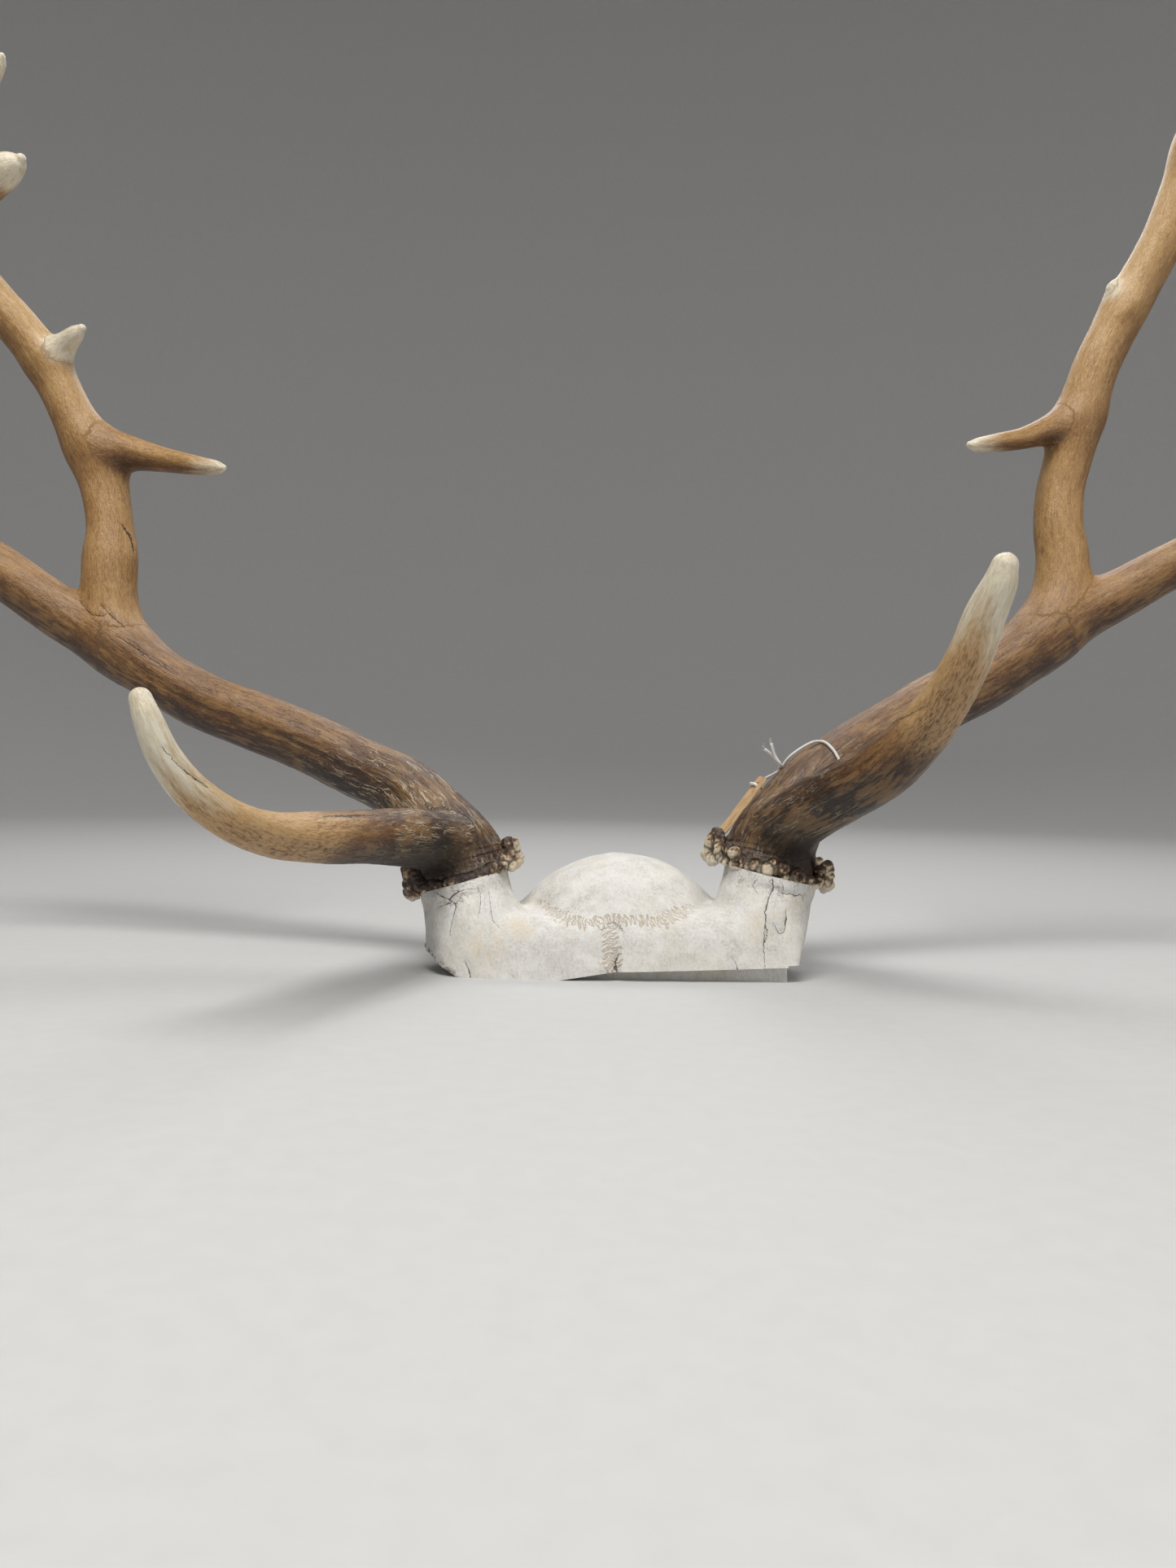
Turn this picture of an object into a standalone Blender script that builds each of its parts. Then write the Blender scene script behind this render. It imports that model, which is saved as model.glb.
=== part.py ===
"""Pair of red deer antlers on a sawn skull cap, with a tied string and a blank card tag.

Metres, +Z up. The skull faces -Y, and +X is the right-hand antler as seen from the front.
The shapes are laid out with the brow level. The saw cut leans a little to the right, so at the
end everything is turned to stand on it: the cut then lies on z = 0, and the origin is on it,
on the midline and in the middle of the brow's sawn edge.
"""
import math
import random

import bmesh
import bpy
from mathutils import Matrix, Vector

MM = 0.001
GAP = 0.0003                    # clearance between pieces that touch
WELD = 0.00001                  # vertices nearer than this are one
SHARP = math.radians(50)        # edges sharper than this are shaded flat
FAR = 0.2                       # how far a cutter reaches past the part

# Skull cap: the sawn roof of the skull, from the brow to behind the pedicles.
DOME_HALF = Vector((0.0550, 0.0560, 0.0500))    # half width, half depth and height of the dome
DOME_CENTRE_Y = 0.012
BROW_HALF_WIDTH = 0.0865
BROW_FRONT_Y = -0.0410
BROW_HEIGHT = 0.0265
BROW_DEPTH_BELOW = 0.0180                       # bone below the brow's level, before the saw cut
BROW_ROUNDING = 0.0110
BROW_BACK_Y = 0.0300
BROW_TAPER = 0.22                               # how much narrower the back of the brow is
BROW_BULGE = 0.0045                             # how far the middle of its front stands out
BROW_LEAN = 0.0060                              # how far the front leans back at its top
TEMPLE_HALF = Vector((0.0790, 0.0480, 0.0300))  # bone that fills in between dome and pedicles
TEMPLE_CENTRE = Vector((0.0, 0.0060, -0.0040))
CAVITY_HALF = Vector((0.0340, 0.0370, 0.0300))  # brain hollow, open at the saw cut
CAVITY_CENTRE_Y = 0.0140
REMESH_SIZE = 0.0024
SOFTEN_FACTOR = 0.5
SOFTEN_TIMES = 12
CAP_TRIANGLES = 1500
CHIP_MIDDLE = Vector((-0.0817, 0.0, 0.0062))    # broken lower left corner of the brow
CHIP_REACH = 0.0300
CHIP_SLOPE = math.radians(33)
FLANK_TOP = Vector((0.0930, 0.0, 0.0340))       # the right flank leans in towards the cut
FLANK_REACH = 0.0300
FLANK_LEAN = math.radians(17)
FLANK_TURN = math.radians(-6)                   # and towards the brow

# The saw cut that the cap stands on: a point of it, and how far it leans down to the right.
SAW_CUT_MIDDLE = Vector((0.0, -0.0330, -0.0020))
SAW_CUT_LEAN = math.radians(2.1)

# Second saw cut: a step under the right half of the brow's front edge, as (x, z) outline.
STEP_OUTLINE = [(-0.0420, -0.0030), (-0.0060, 0.0019), (0.0020, 0.0022), (0.1100, 0.0022),
                (0.1100, -0.0300), (-0.0420, -0.0300)]
STEP_DEPTH = 0.0030
FOOT_END_X = 0.0740             # the foot of the cap stops short of the right flank
FOOT_END_HEIGHT = 0.0030

# Burrs: a ring of round pearls at the base of each antler, on its pedicle.
BURR_X = 0.0720
BURR_Z = 0.0405
BURR_TILT = math.radians(14.5)  # the burrs slope down towards the outside
BURR_CORE_RADIUS = {-1: 0.0240, 1: 0.0256}      # left and right
BURR_HEIGHT = 0.0105
BURR_TAPER = 0.92
PEARL_COUNT = 14
PEARL_RADIUS = 0.0052
PEARL_TURNS = (-0.22, 0.22)     # strays from even spacing, in pearls
PEARL_SIZES = (0.82, 1.15)      # of the pearl radius
PEARL_SHIFTS = (-0.0010, 0.0006)                # from the core's edge
PEARL_HEIGHTS = (0.42, 0.62)    # of the burr's height
PEARL_SEEDS = {-1: 11, 1: 23}

# Axes in millimetres, root to tip: (x, y, z, radius). Pedicles are the bone stalks of the skull.
LEFT_PEDICLE = [
    (-61, -17, -18, 25.0), (-63, -17, 4, 25.0), (-66, -15, 17, 24.0), (-69.8, -8, 29, 21.8),
    (-72, -0.5, 39.5, 20.8), (-74, 1, 54, 20.8),
]
RIGHT_PEDICLE = [
    (61, -17, -18, 25.0), (63, -17, 4, 25.0), (65.5, -15, 17, 24.0), (69.2, -8, 29, 22.6),
    (72, -0.5, 39.5, 21.4), (74, 1, 54, 21.4),
]
LEFT_BEAM = [
    (-72, 0, 44, 21.0), (-77, 3, 55, 18.8), (-88, 8, 69, 17.0), (-103, 14, 83, 15.8),
    (-124, 20, 93, 14.8), (-148, 26, 105, 14.6), (-177, 32, 117, 14.6), (-207, 37, 129, 14.6),
    (-232, 40, 144, 14.8), (-252, 42, 159, 14.8),
]
LEFT_OUTER_TINE = [
    (-244, 41, 153, 13.6), (-272, 42, 170, 13.4), (-289, 40, 182, 13.0), (-308, 36, 197, 12.6),
    (-327, 28, 210, 11.6), (-345, 18, 226, 9.6), (-356, 8, 242, 7.0), (-361, 2, 255, 4.0),
    (-363, 0, 260, 1.6),
]
LEFT_UPPER_BEAM = [
    (-247, 42, 157, 13.4), (-253, 44, 183, 13.6), (-253, 46, 202, 12.9), (-252, 48, 219, 12.3),
    (-256, 50, 240, 12.8), (-264, 50, 259, 12.9), (-273, 48, 277, 12.3), (-284, 46, 300, 11.9),
    (-297, 42, 319, 11.8), (-310, 38, 334, 11.6), (-322, 34, 351, 11.6), (-330, 31, 371, 11.4),
    (-340, 34, 394, 9.2), (-356, 40, 419, 7.4), (-369, 47, 445, 5.2), (-375, 51, 461, 3.0),
    (-377, 52, 466, 1.3),
]
LEFT_INNER_TINE = [
    (-265, 50, 262, 12.4), (-248, 47, 258, 9.4), (-226, 41, 252, 6.3), (-208, 33, 247, 5.0),
    (-195, 27, 244, 3.6), (-190, 24, 243, 1.6),
]
LEFT_BUD = [(-286, 46, 303, 8.0), (-274, 40, 310, 5.8), (-266, 35, 314, 4.2), (-262, 33, 316, 2.2)]
LEFT_FLAT_TINE = [
    (-328, 30, 366, 9.4), (-314, 25, 376, 9.0), (-301, 20, 382, 8.6), (-289, 16, 387, 7.4),
    (-283, 14, 389, 4.6), (-281, 13, 390, 2.4),
]
LEFT_MIDDLE_TINE = [
    (-329, 30, 371, 9.8), (-322, 25, 388, 8.8), (-310, 16, 406, 7.2), (-296, 8, 420, 5.4),
    (-286, 3, 429, 3.6), (-283, 1, 432, 1.6),
]
LEFT_BROW_TINE = [
    (-77, -6, 57, 14.6), (-90, -36, 62, 13.2), (-103, -70, 65, 11.4), (-115, -104, 67, 10.0),
    (-126, -134, 70, 8.4), (-134, -158, 76, 7.2), (-142, -174, 86, 6.3), (-148, -183, 98, 5.5),
    (-152, -186, 110, 4.6), (-155, -185, 118, 3.0), (-156, -184, 120, 1.5),
]
RIGHT_BEAM = [
    (71, 0, 45, 21.6), (76, 3, 56, 19.6), (86, 8, 70, 17.8), (100, 14, 84, 16.6),
    (118, 20, 96, 15.8), (140, 26, 108, 15.6), (163, 32, 121, 15.6), (187, 37, 132, 15.6),
    (206, 40, 144, 15.4), (223, 42, 156, 15.2),
]
RIGHT_OUTER_TINE = [
    (216, 41, 151, 13.8), (241, 42, 166, 13.2), (258, 40, 175, 12.4), (278, 37, 186, 11.8),
    (297, 30, 196, 10.8), (313, 20, 208, 8.8), (325, 11, 223, 6.4), (331, 5, 236, 3.8),
    (333, 3, 241, 1.6),
]
RIGHT_UPPER_BEAM = [
    (217, 42, 154, 13.6), (229, 44, 174, 14.0), (232, 46, 193, 12.9), (231, 48, 211, 12.1),
    (233, 50, 230, 11.7), (238, 50, 249, 11.7), (244, 49, 271, 11.7), (251, 47, 293, 11.3),
    (261, 45, 313, 10.9), (272, 42, 334, 10.8), (282, 38, 354, 10.7), (290, 35, 375, 10.9),
    (298, 33, 397, 10.8), (312, 35, 417, 8.9), (331, 42, 438, 7.0), (347, 49, 460, 4.8),
    (353, 52, 472, 2.8), (355, 53, 476, 1.3),
]
RIGHT_INNER_TINE = [
    (244, 49, 268, 11.0), (227, 44, 261, 7.6), (209, 36, 254, 5.4), (193, 29, 250, 4.4),
    (182, 25, 248, 3.2), (178, 24, 248, 1.5),
]
RIGHT_NUB = [(261, 44, 322, 8.6), (257, 41, 328, 4.2), (255, 40, 331, 2.2)]
RIGHT_FLAT_TINE = [
    (296, 31, 392, 9.2), (295, 20, 402, 8.6), (292, 7, 410, 7.4), (287, -4, 416, 5.6),
    (283, -11, 420, 3.2), (282, -13, 421, 1.5),
]
RIGHT_MIDDLE_TINE = [
    (297, 31, 397, 9.4), (298, 24, 414, 8.6), (296, 16, 431, 7.0), (291, 9, 448, 4.8),
    (287, 5, 458, 2.8), (286, 4, 461, 1.3),
]
RIGHT_BROW_TINE = [
    (75, -6, 58, 15.4), (85, -31, 70, 14.0), (97, -54, 80, 13.0), (109, -75, 90, 12.4),
    (119, -92, 103, 11.0), (126, -106, 117, 9.4), (131, -118, 132, 8.5), (134, -126, 146, 7.6),
    (137, -132, 158, 6.4), (138, -134, 165, 4.4), (139, -135, 169, 2.0),
]

# Card tag behind the right beam, seen nearly edge-on from the front.
TAG_LENGTH = 0.0345
TAG_WIDTH = 0.0220
TAG_THICKNESS = 0.0006
TAG_CORNER_RADIUS = 0.0040
TAG_HOLE_RADIUS = 0.0020
TAG_HOLE_FROM_END = 0.0050
TAG_TOP_CORNER = Vector((0.0738, 0.0110, 0.0855))   # the end of its near long edge
TAG_LEAN = math.radians(36.5)     # its length, from the vertical
TAG_TURN = math.radians(1)        # its width, from straight back

# String tied round the right beam. Its route round the beam: (distance along the beam from the
# burr in mm, angle from the beam's upper side towards the front in degrees, lift in mm).
STRING_RADIUS = 0.0007
KNOT_RADIUS = 0.0017
STRING_POINTS = 44
STRING_WRAP = [
    (42, -22, 1.6), (46, -16, 1.4), (52, -9, 1.3), (57, 4, 1.3), (58.5, 26, 1.3),
    (57.5, 52, 1.3), (54.5, 82, 1.3), (51, 115, 1.4), (47, 150, 1.5), (43, 185, 1.5),
    (40, 220, 1.5), (37, 252, 1.6), (35, 280, 2.0),
]
# And through the tag's hole, in mm: up, across from the tag's middle, out of its face.
STRING_AT_TAG = [(-5.0, 0.0, -3.0), (-5.0, 0.0, 0.0), (-3.8, -0.5, 2.1), (1.6, -3.0, 2.4)]
TIE_FROM_KNOT = Vector((-1.2, 0.8, 1.5))                  # mm
FIRST_FREE_END = [(76.3, 8.5, 99.3), (79.2, 10.6, 95.6)]  # tip first, mm
LAST_FREE_END = [(80.8, 12.6, 96.6), (78.4, 13.4, 102.3)]  # tip last, mm

# How finely each kind of branch is faceted: (steps between axis points, bevel resolution).
MAIN_STEM = (3, 3)
BRANCH = (2, 3)
TWIG = (2, 2)

# Colour and roughness.
BONE = ((0.780, 0.765, 0.725), 0.75)
BROWN_ANTLER = ((0.260, 0.165, 0.090), 0.45)
TAN_ANTLER = ((0.500, 0.370, 0.240), 0.50)
WHITE_COTTON = ((0.850, 0.850, 0.830), 0.85)
KRAFT_CARD = ((0.640, 0.450, 0.260), 0.80)
FINISHES = {
    "skull_cap": BONE, "left_beam": BROWN_ANTLER, "right_beam": BROWN_ANTLER,
    "left_outer_tine": BROWN_ANTLER, "right_outer_tine": BROWN_ANTLER,
    "tag_string": WHITE_COTTON, "tag": KRAFT_CARD,
}


def clear_scene():
    """Start from nothing."""
    for old in list(bpy.data.objects):
        bpy.data.objects.remove(old, do_unlink=True)


def make_collection(name):
    """A new collection in the scene."""
    collection = bpy.data.collections.new(name)
    bpy.context.scene.collection.children.link(collection)
    return collection


def paint(piece):
    """Give a piece its own plain material."""
    colour, roughness = FINISHES.get(piece.name, TAN_ANTLER)
    material = bpy.data.materials.new(piece.name + "_finish")
    material.use_nodes = True
    shader = material.node_tree.nodes["Principled BSDF"]
    shader.inputs["Base Color"].default_value = (*colour, 1.0)
    shader.inputs["Roughness"].default_value = roughness
    shader.inputs["Metallic"].default_value = 0.0
    piece.data.materials.clear()
    piece.data.materials.append(material)


def add_to(collection, name, mesh):
    """An object for a mesh, linked in one collection."""
    piece = bpy.data.objects.new(name, mesh)
    collection.objects.link(piece)
    return piece


def as_mesh(name, source, collection):
    """Turn a curve object into a welded mesh object, and remove the curve."""
    bpy.context.view_layer.update()
    depsgraph = bpy.context.evaluated_depsgraph_get()
    mesh = bpy.data.meshes.new_from_object(source.evaluated_get(depsgraph))
    mesh.name = name
    bm = bmesh.new()
    bm.from_mesh(mesh)
    bmesh.ops.remove_doubles(bm, verts=bm.verts, dist=WELD)
    bmesh.ops.recalc_face_normals(bm, faces=bm.faces)
    bm.to_mesh(mesh)
    bm.free()
    piece = add_to(collection, name, mesh)
    piece.matrix_world = source.matrix_world
    bpy.data.objects.remove(source, do_unlink=True)
    return piece


def tube(name, axis, grain, collection, swell=0.0):
    """A smooth round branch along an axis of (x, y, z, radius) points in millimetres."""
    steps, roundness = grain
    curve = bpy.data.curves.new(name + "_axis", "CURVE")
    curve.dimensions = "3D"
    curve.twist_mode = "MINIMUM"
    curve.resolution_u = steps
    curve.bevel_depth = MM
    curve.bevel_resolution = roundness
    curve.use_fill_caps = True
    spline = curve.splines.new("BEZIER")
    spline.bezier_points.add(len(axis) - 1)
    for point, (x, y, z, radius) in zip(spline.bezier_points, axis):
        point.co = (x * MM, y * MM, z * MM)
        point.radius = radius + swell / MM
        point.handle_left_type = "AUTO"
        point.handle_right_type = "AUTO"
    source = add_to(collection, name + "_axis", curve)
    return as_mesh(name, source, collection)


def apply_modifiers(piece):
    """Keep what the modifiers make as the piece's own mesh."""
    bpy.context.view_layer.update()
    depsgraph = bpy.context.evaluated_depsgraph_get()
    piece.data = bpy.data.meshes.new_from_object(piece.evaluated_get(depsgraph))
    piece.data.name = piece.name
    piece.modifiers.clear()


def boolean(piece, other, operation):
    """Apply an exact Boolean of another mesh object to a piece, and remove the other."""
    modifier = piece.modifiers.new(operation.lower(), "BOOLEAN")
    modifier.operation = operation
    modifier.solver = "EXACT"
    modifier.object = other
    apply_modifiers(piece)
    bpy.data.objects.remove(other, do_unlink=True)


def cut_away(piece, cutter):
    """Take a cutter, which is never rendered, out of a piece."""
    cutter.hide_render = True
    cutter.display_type = "WIRE"
    boolean(piece, cutter, "DIFFERENCE")


def keep_largest_body(piece):
    """Drop the small offcuts that a cut leaves beside the main body."""
    bm = bmesh.new()
    bm.from_mesh(piece.data)
    left = set(bm.verts)
    bodies = []
    while left:
        stack = [left.pop()]
        body = set(stack)
        while stack:
            for edge in stack.pop().link_edges:
                for vertex in edge.verts:
                    if vertex in left:
                        left.remove(vertex)
                        body.add(vertex)
                        stack.append(vertex)
        bodies.append(body)
    bodies.sort(key=len, reverse=True)
    for body in bodies[1:]:
        bmesh.ops.delete(bm, geom=list(body), context="VERTS")
    bm.to_mesh(piece.data)
    bm.free()


def finish_mesh(piece):
    """Keep one clean body: drop offcuts, merge the slivers of a Boolean, and shade it smooth."""
    keep_largest_body(piece)
    bm = bmesh.new()
    bm.from_mesh(piece.data)
    bmesh.ops.remove_doubles(bm, verts=bm.verts, dist=WELD)
    bmesh.ops.dissolve_degenerate(bm, edges=bm.edges, dist=WELD)
    bmesh.ops.triangulate(bm, faces=bm.faces)
    bm.to_mesh(piece.data)
    bm.free()
    piece.data.shade_smooth()
    piece.data.set_sharp_from_angle(angle=SHARP)


def smooth_path(points, count):
    """Points at equal steps of parameter on a Catmull-Rom curve through the given ones."""
    points = [Vector(point) for point in points]
    padded = [2 * points[0] - points[1], *points, 2 * points[-1] - points[-2]]
    path = []
    for index in range(count):
        place = index / (count - 1) * (len(points) - 1)
        first = min(int(place), len(points) - 2)
        t = place - first
        a, b, c, d = padded[first:first + 4]
        path.append(0.5 * (2 * b + (c - a) * t + (2 * a - 5 * b + 4 * c - d) * t * t
                           + (3 * b - a - 3 * c + d) * t ** 3))
    return path


def beside_beam(axis, along, angle, lift):
    """A point in mm that lies off a beam's surface, by its distance along the beam."""
    path = smooth_path(axis, 400)
    travelled = 0.0
    index = 0
    while travelled < along:
        travelled += (path[index + 1] - path[index]).to_3d().length
        index += 1
    forward = (path[index + 1] - path[index]).to_3d().normalized()
    upper = (Vector((0, 0, 1)) - forward * forward.z).normalized()
    front = forward.cross(upper)
    turn = math.radians(angle)
    reach = path[index][3] + lift
    return path[index].to_3d() + reach * (upper * math.cos(turn) + front * math.sin(turn))


def box(name, low, high, collection):
    """A plain box between two corners."""
    low, high = Vector(low), Vector(high)
    mesh = bpy.data.meshes.new(name)
    bm = bmesh.new()
    bmesh.ops.create_cube(bm, size=1.0)
    size = Matrix.Diagonal((*(high - low), 1.0))
    bmesh.ops.transform(bm, matrix=Matrix.Translation((low + high) / 2) @ size, verts=bm.verts)
    bm.to_mesh(mesh)
    bm.free()
    return add_to(collection, name, mesh)


def ball(name, centre, half, collection, rings=12):
    """A sphere or an ellipsoid."""
    mesh = bpy.data.meshes.new(name)
    bm = bmesh.new()
    bmesh.ops.create_uvsphere(bm, u_segments=2 * rings, v_segments=rings, radius=1.0)
    size = Matrix.Diagonal((*Vector(half), 1.0))
    bmesh.ops.transform(bm, matrix=Matrix.Translation(Vector(centre)) @ size, verts=bm.verts)
    bm.to_mesh(mesh)
    bm.free()
    return add_to(collection, name, mesh)


def flat_shape(name, loops, thickness, place, collection):
    """A flat sheet from closed outlines, filled, with the inner ones left open as holes."""
    curve = bpy.data.curves.new(name + "_outline", "CURVE")
    curve.dimensions = "2D"
    curve.fill_mode = "BOTH"
    curve.extrude = thickness / 2
    for loop in loops:
        spline = curve.splines.new("POLY")
        spline.points.add(len(loop) - 1)
        spline.use_cyclic_u = True
        for point, (x, y) in zip(spline.points, loop):
            point.co = (x, y, 0.0, 1.0)
    source = add_to(collection, name + "_outline", curve)
    source.matrix_world = place
    return as_mesh(name, source, collection)


def saw_plane():
    """Place of the saw cut: its Z points into the skull."""
    return Matrix.Translation(SAW_CUT_MIDDLE) @ Matrix.Rotation(SAW_CUT_LEAN, 4, "Y")


def burr_frame(side):
    """Place of a burr's lower face: its centre, and a matrix whose Z leans outwards."""
    lean = Matrix.Rotation(side * BURR_TILT, 4, "Y")
    return Matrix.Translation((side * BURR_X, 0.0, BURR_Z + GAP)) @ lean


def fuse_by_remesh(piece, size, triangles):
    """Grow overlapping shapes into one skin, smooth it and thin it out."""
    remesh = piece.modifiers.new("one_skin", "REMESH")
    remesh.mode = "VOXEL"
    remesh.voxel_size = size
    soften = piece.modifiers.new("soften", "SMOOTH")
    soften.factor = SOFTEN_FACTOR
    soften.iterations = SOFTEN_TIMES
    apply_modifiers(piece)
    faces = sum(len(face.vertices) - 2 for face in piece.data.polygons)
    thin = piece.modifiers.new("thin_out", "DECIMATE")
    thin.ratio = triangles / faces
    apply_modifiers(piece)


def join_meshes(name, pieces, collection):
    """One object that holds the faces of several, which are removed."""
    bm = bmesh.new()
    for piece in pieces:
        piece.data.transform(piece.matrix_world)
        bm.from_mesh(piece.data)
        bpy.data.objects.remove(piece, do_unlink=True)
    mesh = bpy.data.meshes.new(name)
    bm.to_mesh(mesh)
    bm.free()
    return add_to(collection, name, mesh)


def rounded_brow(collection):
    """The frontal bone between the pedicles: a rounded box, bulged in front, tapered behind."""
    low = (-BROW_HALF_WIDTH, BROW_FRONT_Y, -BROW_DEPTH_BELOW)
    high = (BROW_HALF_WIDTH, BROW_BACK_Y, BROW_HEIGHT)
    brow = box("brow", low, high, collection)
    bevel = brow.modifiers.new("round_over", "BEVEL")
    bevel.width = BROW_ROUNDING
    bevel.segments = 3
    apply_modifiers(brow)
    bm = bmesh.new()
    bm.from_mesh(brow.data)
    bmesh.ops.subdivide_edges(bm, edges=bm.edges, cuts=4, use_grid_fill=True)
    depth = BROW_BACK_Y - BROW_FRONT_Y
    for vertex in bm.verts:
        back = (vertex.co.y - BROW_FRONT_Y) / depth
        across = vertex.co.x / BROW_HALF_WIDTH
        vertex.co.x *= 1.0 - BROW_TAPER * back
        vertex.co.y -= BROW_BULGE * (1.0 - across * across) * (1.0 - back)
        vertex.co.y += BROW_LEAN * (1.0 - back) * vertex.co.z / BROW_HEIGHT
    bm.to_mesh(brow.data)
    bm.free()
    return brow


def saw_cap_off(cap, cutters):
    """Cut the cap off the skull: the cut it stands on, and the step under its front edge."""
    below = box("below_cut", (-FAR, -FAR, -FAR), (FAR, FAR, 0.0), cutters)
    below.matrix_world = saw_plane()
    cut_away(cap, below)
    upright = Matrix.Rotation(math.radians(90), 4, "X")
    back_of_step = BROW_FRONT_Y + STEP_DEPTH
    place = Matrix.Translation((0.0, back_of_step - FAR / 2, 0.0)) @ upright
    cut_away(cap, flat_shape("step", [STEP_OUTLINE], FAR, place, cutters))
    cut_away(cap, box("foot_end", (FOOT_END_X, -FAR, -FAR), (FAR, 0.0, FOOT_END_HEIGHT), cutters))


def trim_sides(cap, cutters):
    """Break off the lower left corner of the brow, and lean the right flank in."""
    chip = box("chip", (-CHIP_REACH, -FAR, -CHIP_REACH), (CHIP_REACH, FAR, 0.0), cutters)
    chip.matrix_world = Matrix.Translation(CHIP_MIDDLE) @ Matrix.Rotation(CHIP_SLOPE, 4, "Y")
    cut_away(cap, chip)
    flank = box("flank", (0.0, -FAR, -FAR), (FLANK_REACH, FAR, FLANK_REACH), cutters)
    turn = Matrix.Rotation(FLANK_TURN, 4, "Z")
    lean = Matrix.Rotation(FLANK_LEAN, 4, "Y")
    flank.matrix_world = Matrix.Translation(FLANK_TOP) @ turn @ lean
    cut_away(cap, flank)


def skull_cap(collection, cutters):
    """Dome, brow and pedicles as one bone, with its saw cuts, broken corner and brain hollow."""
    cap = join_meshes("skull_cap", [
        ball("dome", (0.0, DOME_CENTRE_Y, 0.0), DOME_HALF, collection),
        ball("temple", TEMPLE_CENTRE, TEMPLE_HALF, collection),
        rounded_brow(collection),
        tube("pedicle", LEFT_PEDICLE, MAIN_STEM, collection),
        tube("pedicle", RIGHT_PEDICLE, MAIN_STEM, collection),
    ], collection)
    fuse_by_remesh(cap, REMESH_SIZE, CAP_TRIANGLES)
    saw_cap_off(cap, cutters)
    trim_sides(cap, cutters)
    cut_away(cap, ball("hollow", (0.0, CAVITY_CENTRE_Y, 0.0), CAVITY_HALF, cutters, rings=10))
    for side in (-1, 1):
        above = box("above_seat", (-0.06, -0.06, -GAP), (0.06, 0.06, 0.06), cutters)
        above.matrix_world = burr_frame(side)
        cut_away(cap, above)
    finish_mesh(cap)


def burr(side, collection):
    """A flat ring of pearls round the antler's root."""
    place = burr_frame(side)
    core = BURR_CORE_RADIUS[side]
    mesh = bpy.data.meshes.new("burr")
    bm = bmesh.new()
    bmesh.ops.create_cone(bm, cap_ends=True, segments=20, radius1=core,
                          radius2=core * BURR_TAPER, depth=BURR_HEIGHT)
    lift = Matrix.Translation((0.0, 0.0, BURR_HEIGHT / 2))
    bmesh.ops.transform(bm, matrix=place @ lift, verts=bm.verts)
    bm.to_mesh(mesh)
    bm.free()
    ring = add_to(collection, "burr", mesh)

    chance = random.Random(PEARL_SEEDS[side])
    for index in range(PEARL_COUNT):
        turn = 2 * math.pi * (index + chance.uniform(*PEARL_TURNS)) / PEARL_COUNT
        size = PEARL_RADIUS * chance.uniform(*PEARL_SIZES)
        reach = core + chance.uniform(*PEARL_SHIFTS)
        height = BURR_HEIGHT * chance.uniform(*PEARL_HEIGHTS)
        centre = place @ Vector((reach * math.cos(turn), reach * math.sin(turn), height))
        mesh = bpy.data.meshes.new("pearl")
        bm = bmesh.new()
        bmesh.ops.create_icosphere(bm, subdivisions=1, radius=size,
                                   matrix=Matrix.Translation(centre))
        bm.to_mesh(mesh)
        bm.free()
        boolean(ring, add_to(collection, "pearl", mesh), "UNION")
    return ring


def cut_below(piece, side, height, cutters):
    """Cut off what lies lower than a height above a burr's lower face."""
    below = box("below", (-0.08, -0.08, -0.08), (0.08, 0.08, height), cutters)
    below.matrix_world = burr_frame(side)
    cut_away(piece, below)
    finish_mesh(piece)


def beam(name, side, axis, collection, cutters):
    """The main stem from the burr to the big fork, with its burr fused to its foot."""
    stem = tube(name, axis, MAIN_STEM, collection)
    boolean(stem, burr(side, collection), "UNION")
    cut_below(stem, side, 0.0, cutters)


def tine(name, axis, grain, carriers, collection, cutters, bud_axis=None):
    """A branch cut clear of the branches that carry it, with its small bud fused on."""
    branch = tube(name, axis, grain, collection)
    if bud_axis:
        boolean(branch, tube(name + "_bud", bud_axis, TWIG, collection), "UNION")
    for carrier, carrier_grain in carriers:
        cut_away(branch, tube("clearance", carrier, carrier_grain, cutters, swell=1.5 * GAP))
    finish_mesh(branch)
    return branch


def antler(name, side, axes, collection, cutters):
    """All the branches of one antler."""
    stem = (axes["beam"], MAIN_STEM)
    outer = (axes["outer"], BRANCH)
    upper = (axes["upper"], BRANCH)
    flat = (axes["flat"], TWIG)
    above_pearls = PEARL_HEIGHTS[1] * BURR_HEIGHT + PEARL_SIZES[1] * PEARL_RADIUS + 2 * GAP
    beam(name + "_beam", side, axes["beam"], collection, cutters)
    brow = tine(name + "_brow_tine", axes["brow"], BRANCH, [stem], collection, cutters)
    cut_below(brow, side, above_pearls, cutters)
    tine(name + "_outer_tine", *outer, [stem], collection, cutters)
    tine(name + "_upper_beam", *upper, [stem, outer], collection, cutters, axes["bud"])
    tine(name + "_inner_tine", axes["inner"], TWIG, [upper], collection, cutters)
    tine(name + "_crown_flat_tine", *flat, [upper], collection, cutters)
    tine(name + "_crown_middle_tine", axes["middle"], TWIG, [upper, flat], collection, cutters)


def tag_frame():
    """The tag's place: X along its length upwards, Y along its width to the back, Z outwards."""
    upwards = Vector((math.sin(TAG_LEAN), 0.0, math.cos(TAG_LEAN)))
    flat_out = Vector((-math.cos(TAG_LEAN), 0.0, math.sin(TAG_LEAN)))
    backwards = Vector((0, 1, 0)) * math.cos(TAG_TURN) + flat_out * math.sin(TAG_TURN)
    outwards = upwards.cross(backwards)
    axes = Matrix((upwards, backwards, outwards)).transposed().to_4x4()
    return Matrix.Translation(TAG_TOP_CORNER) @ axes


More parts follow.
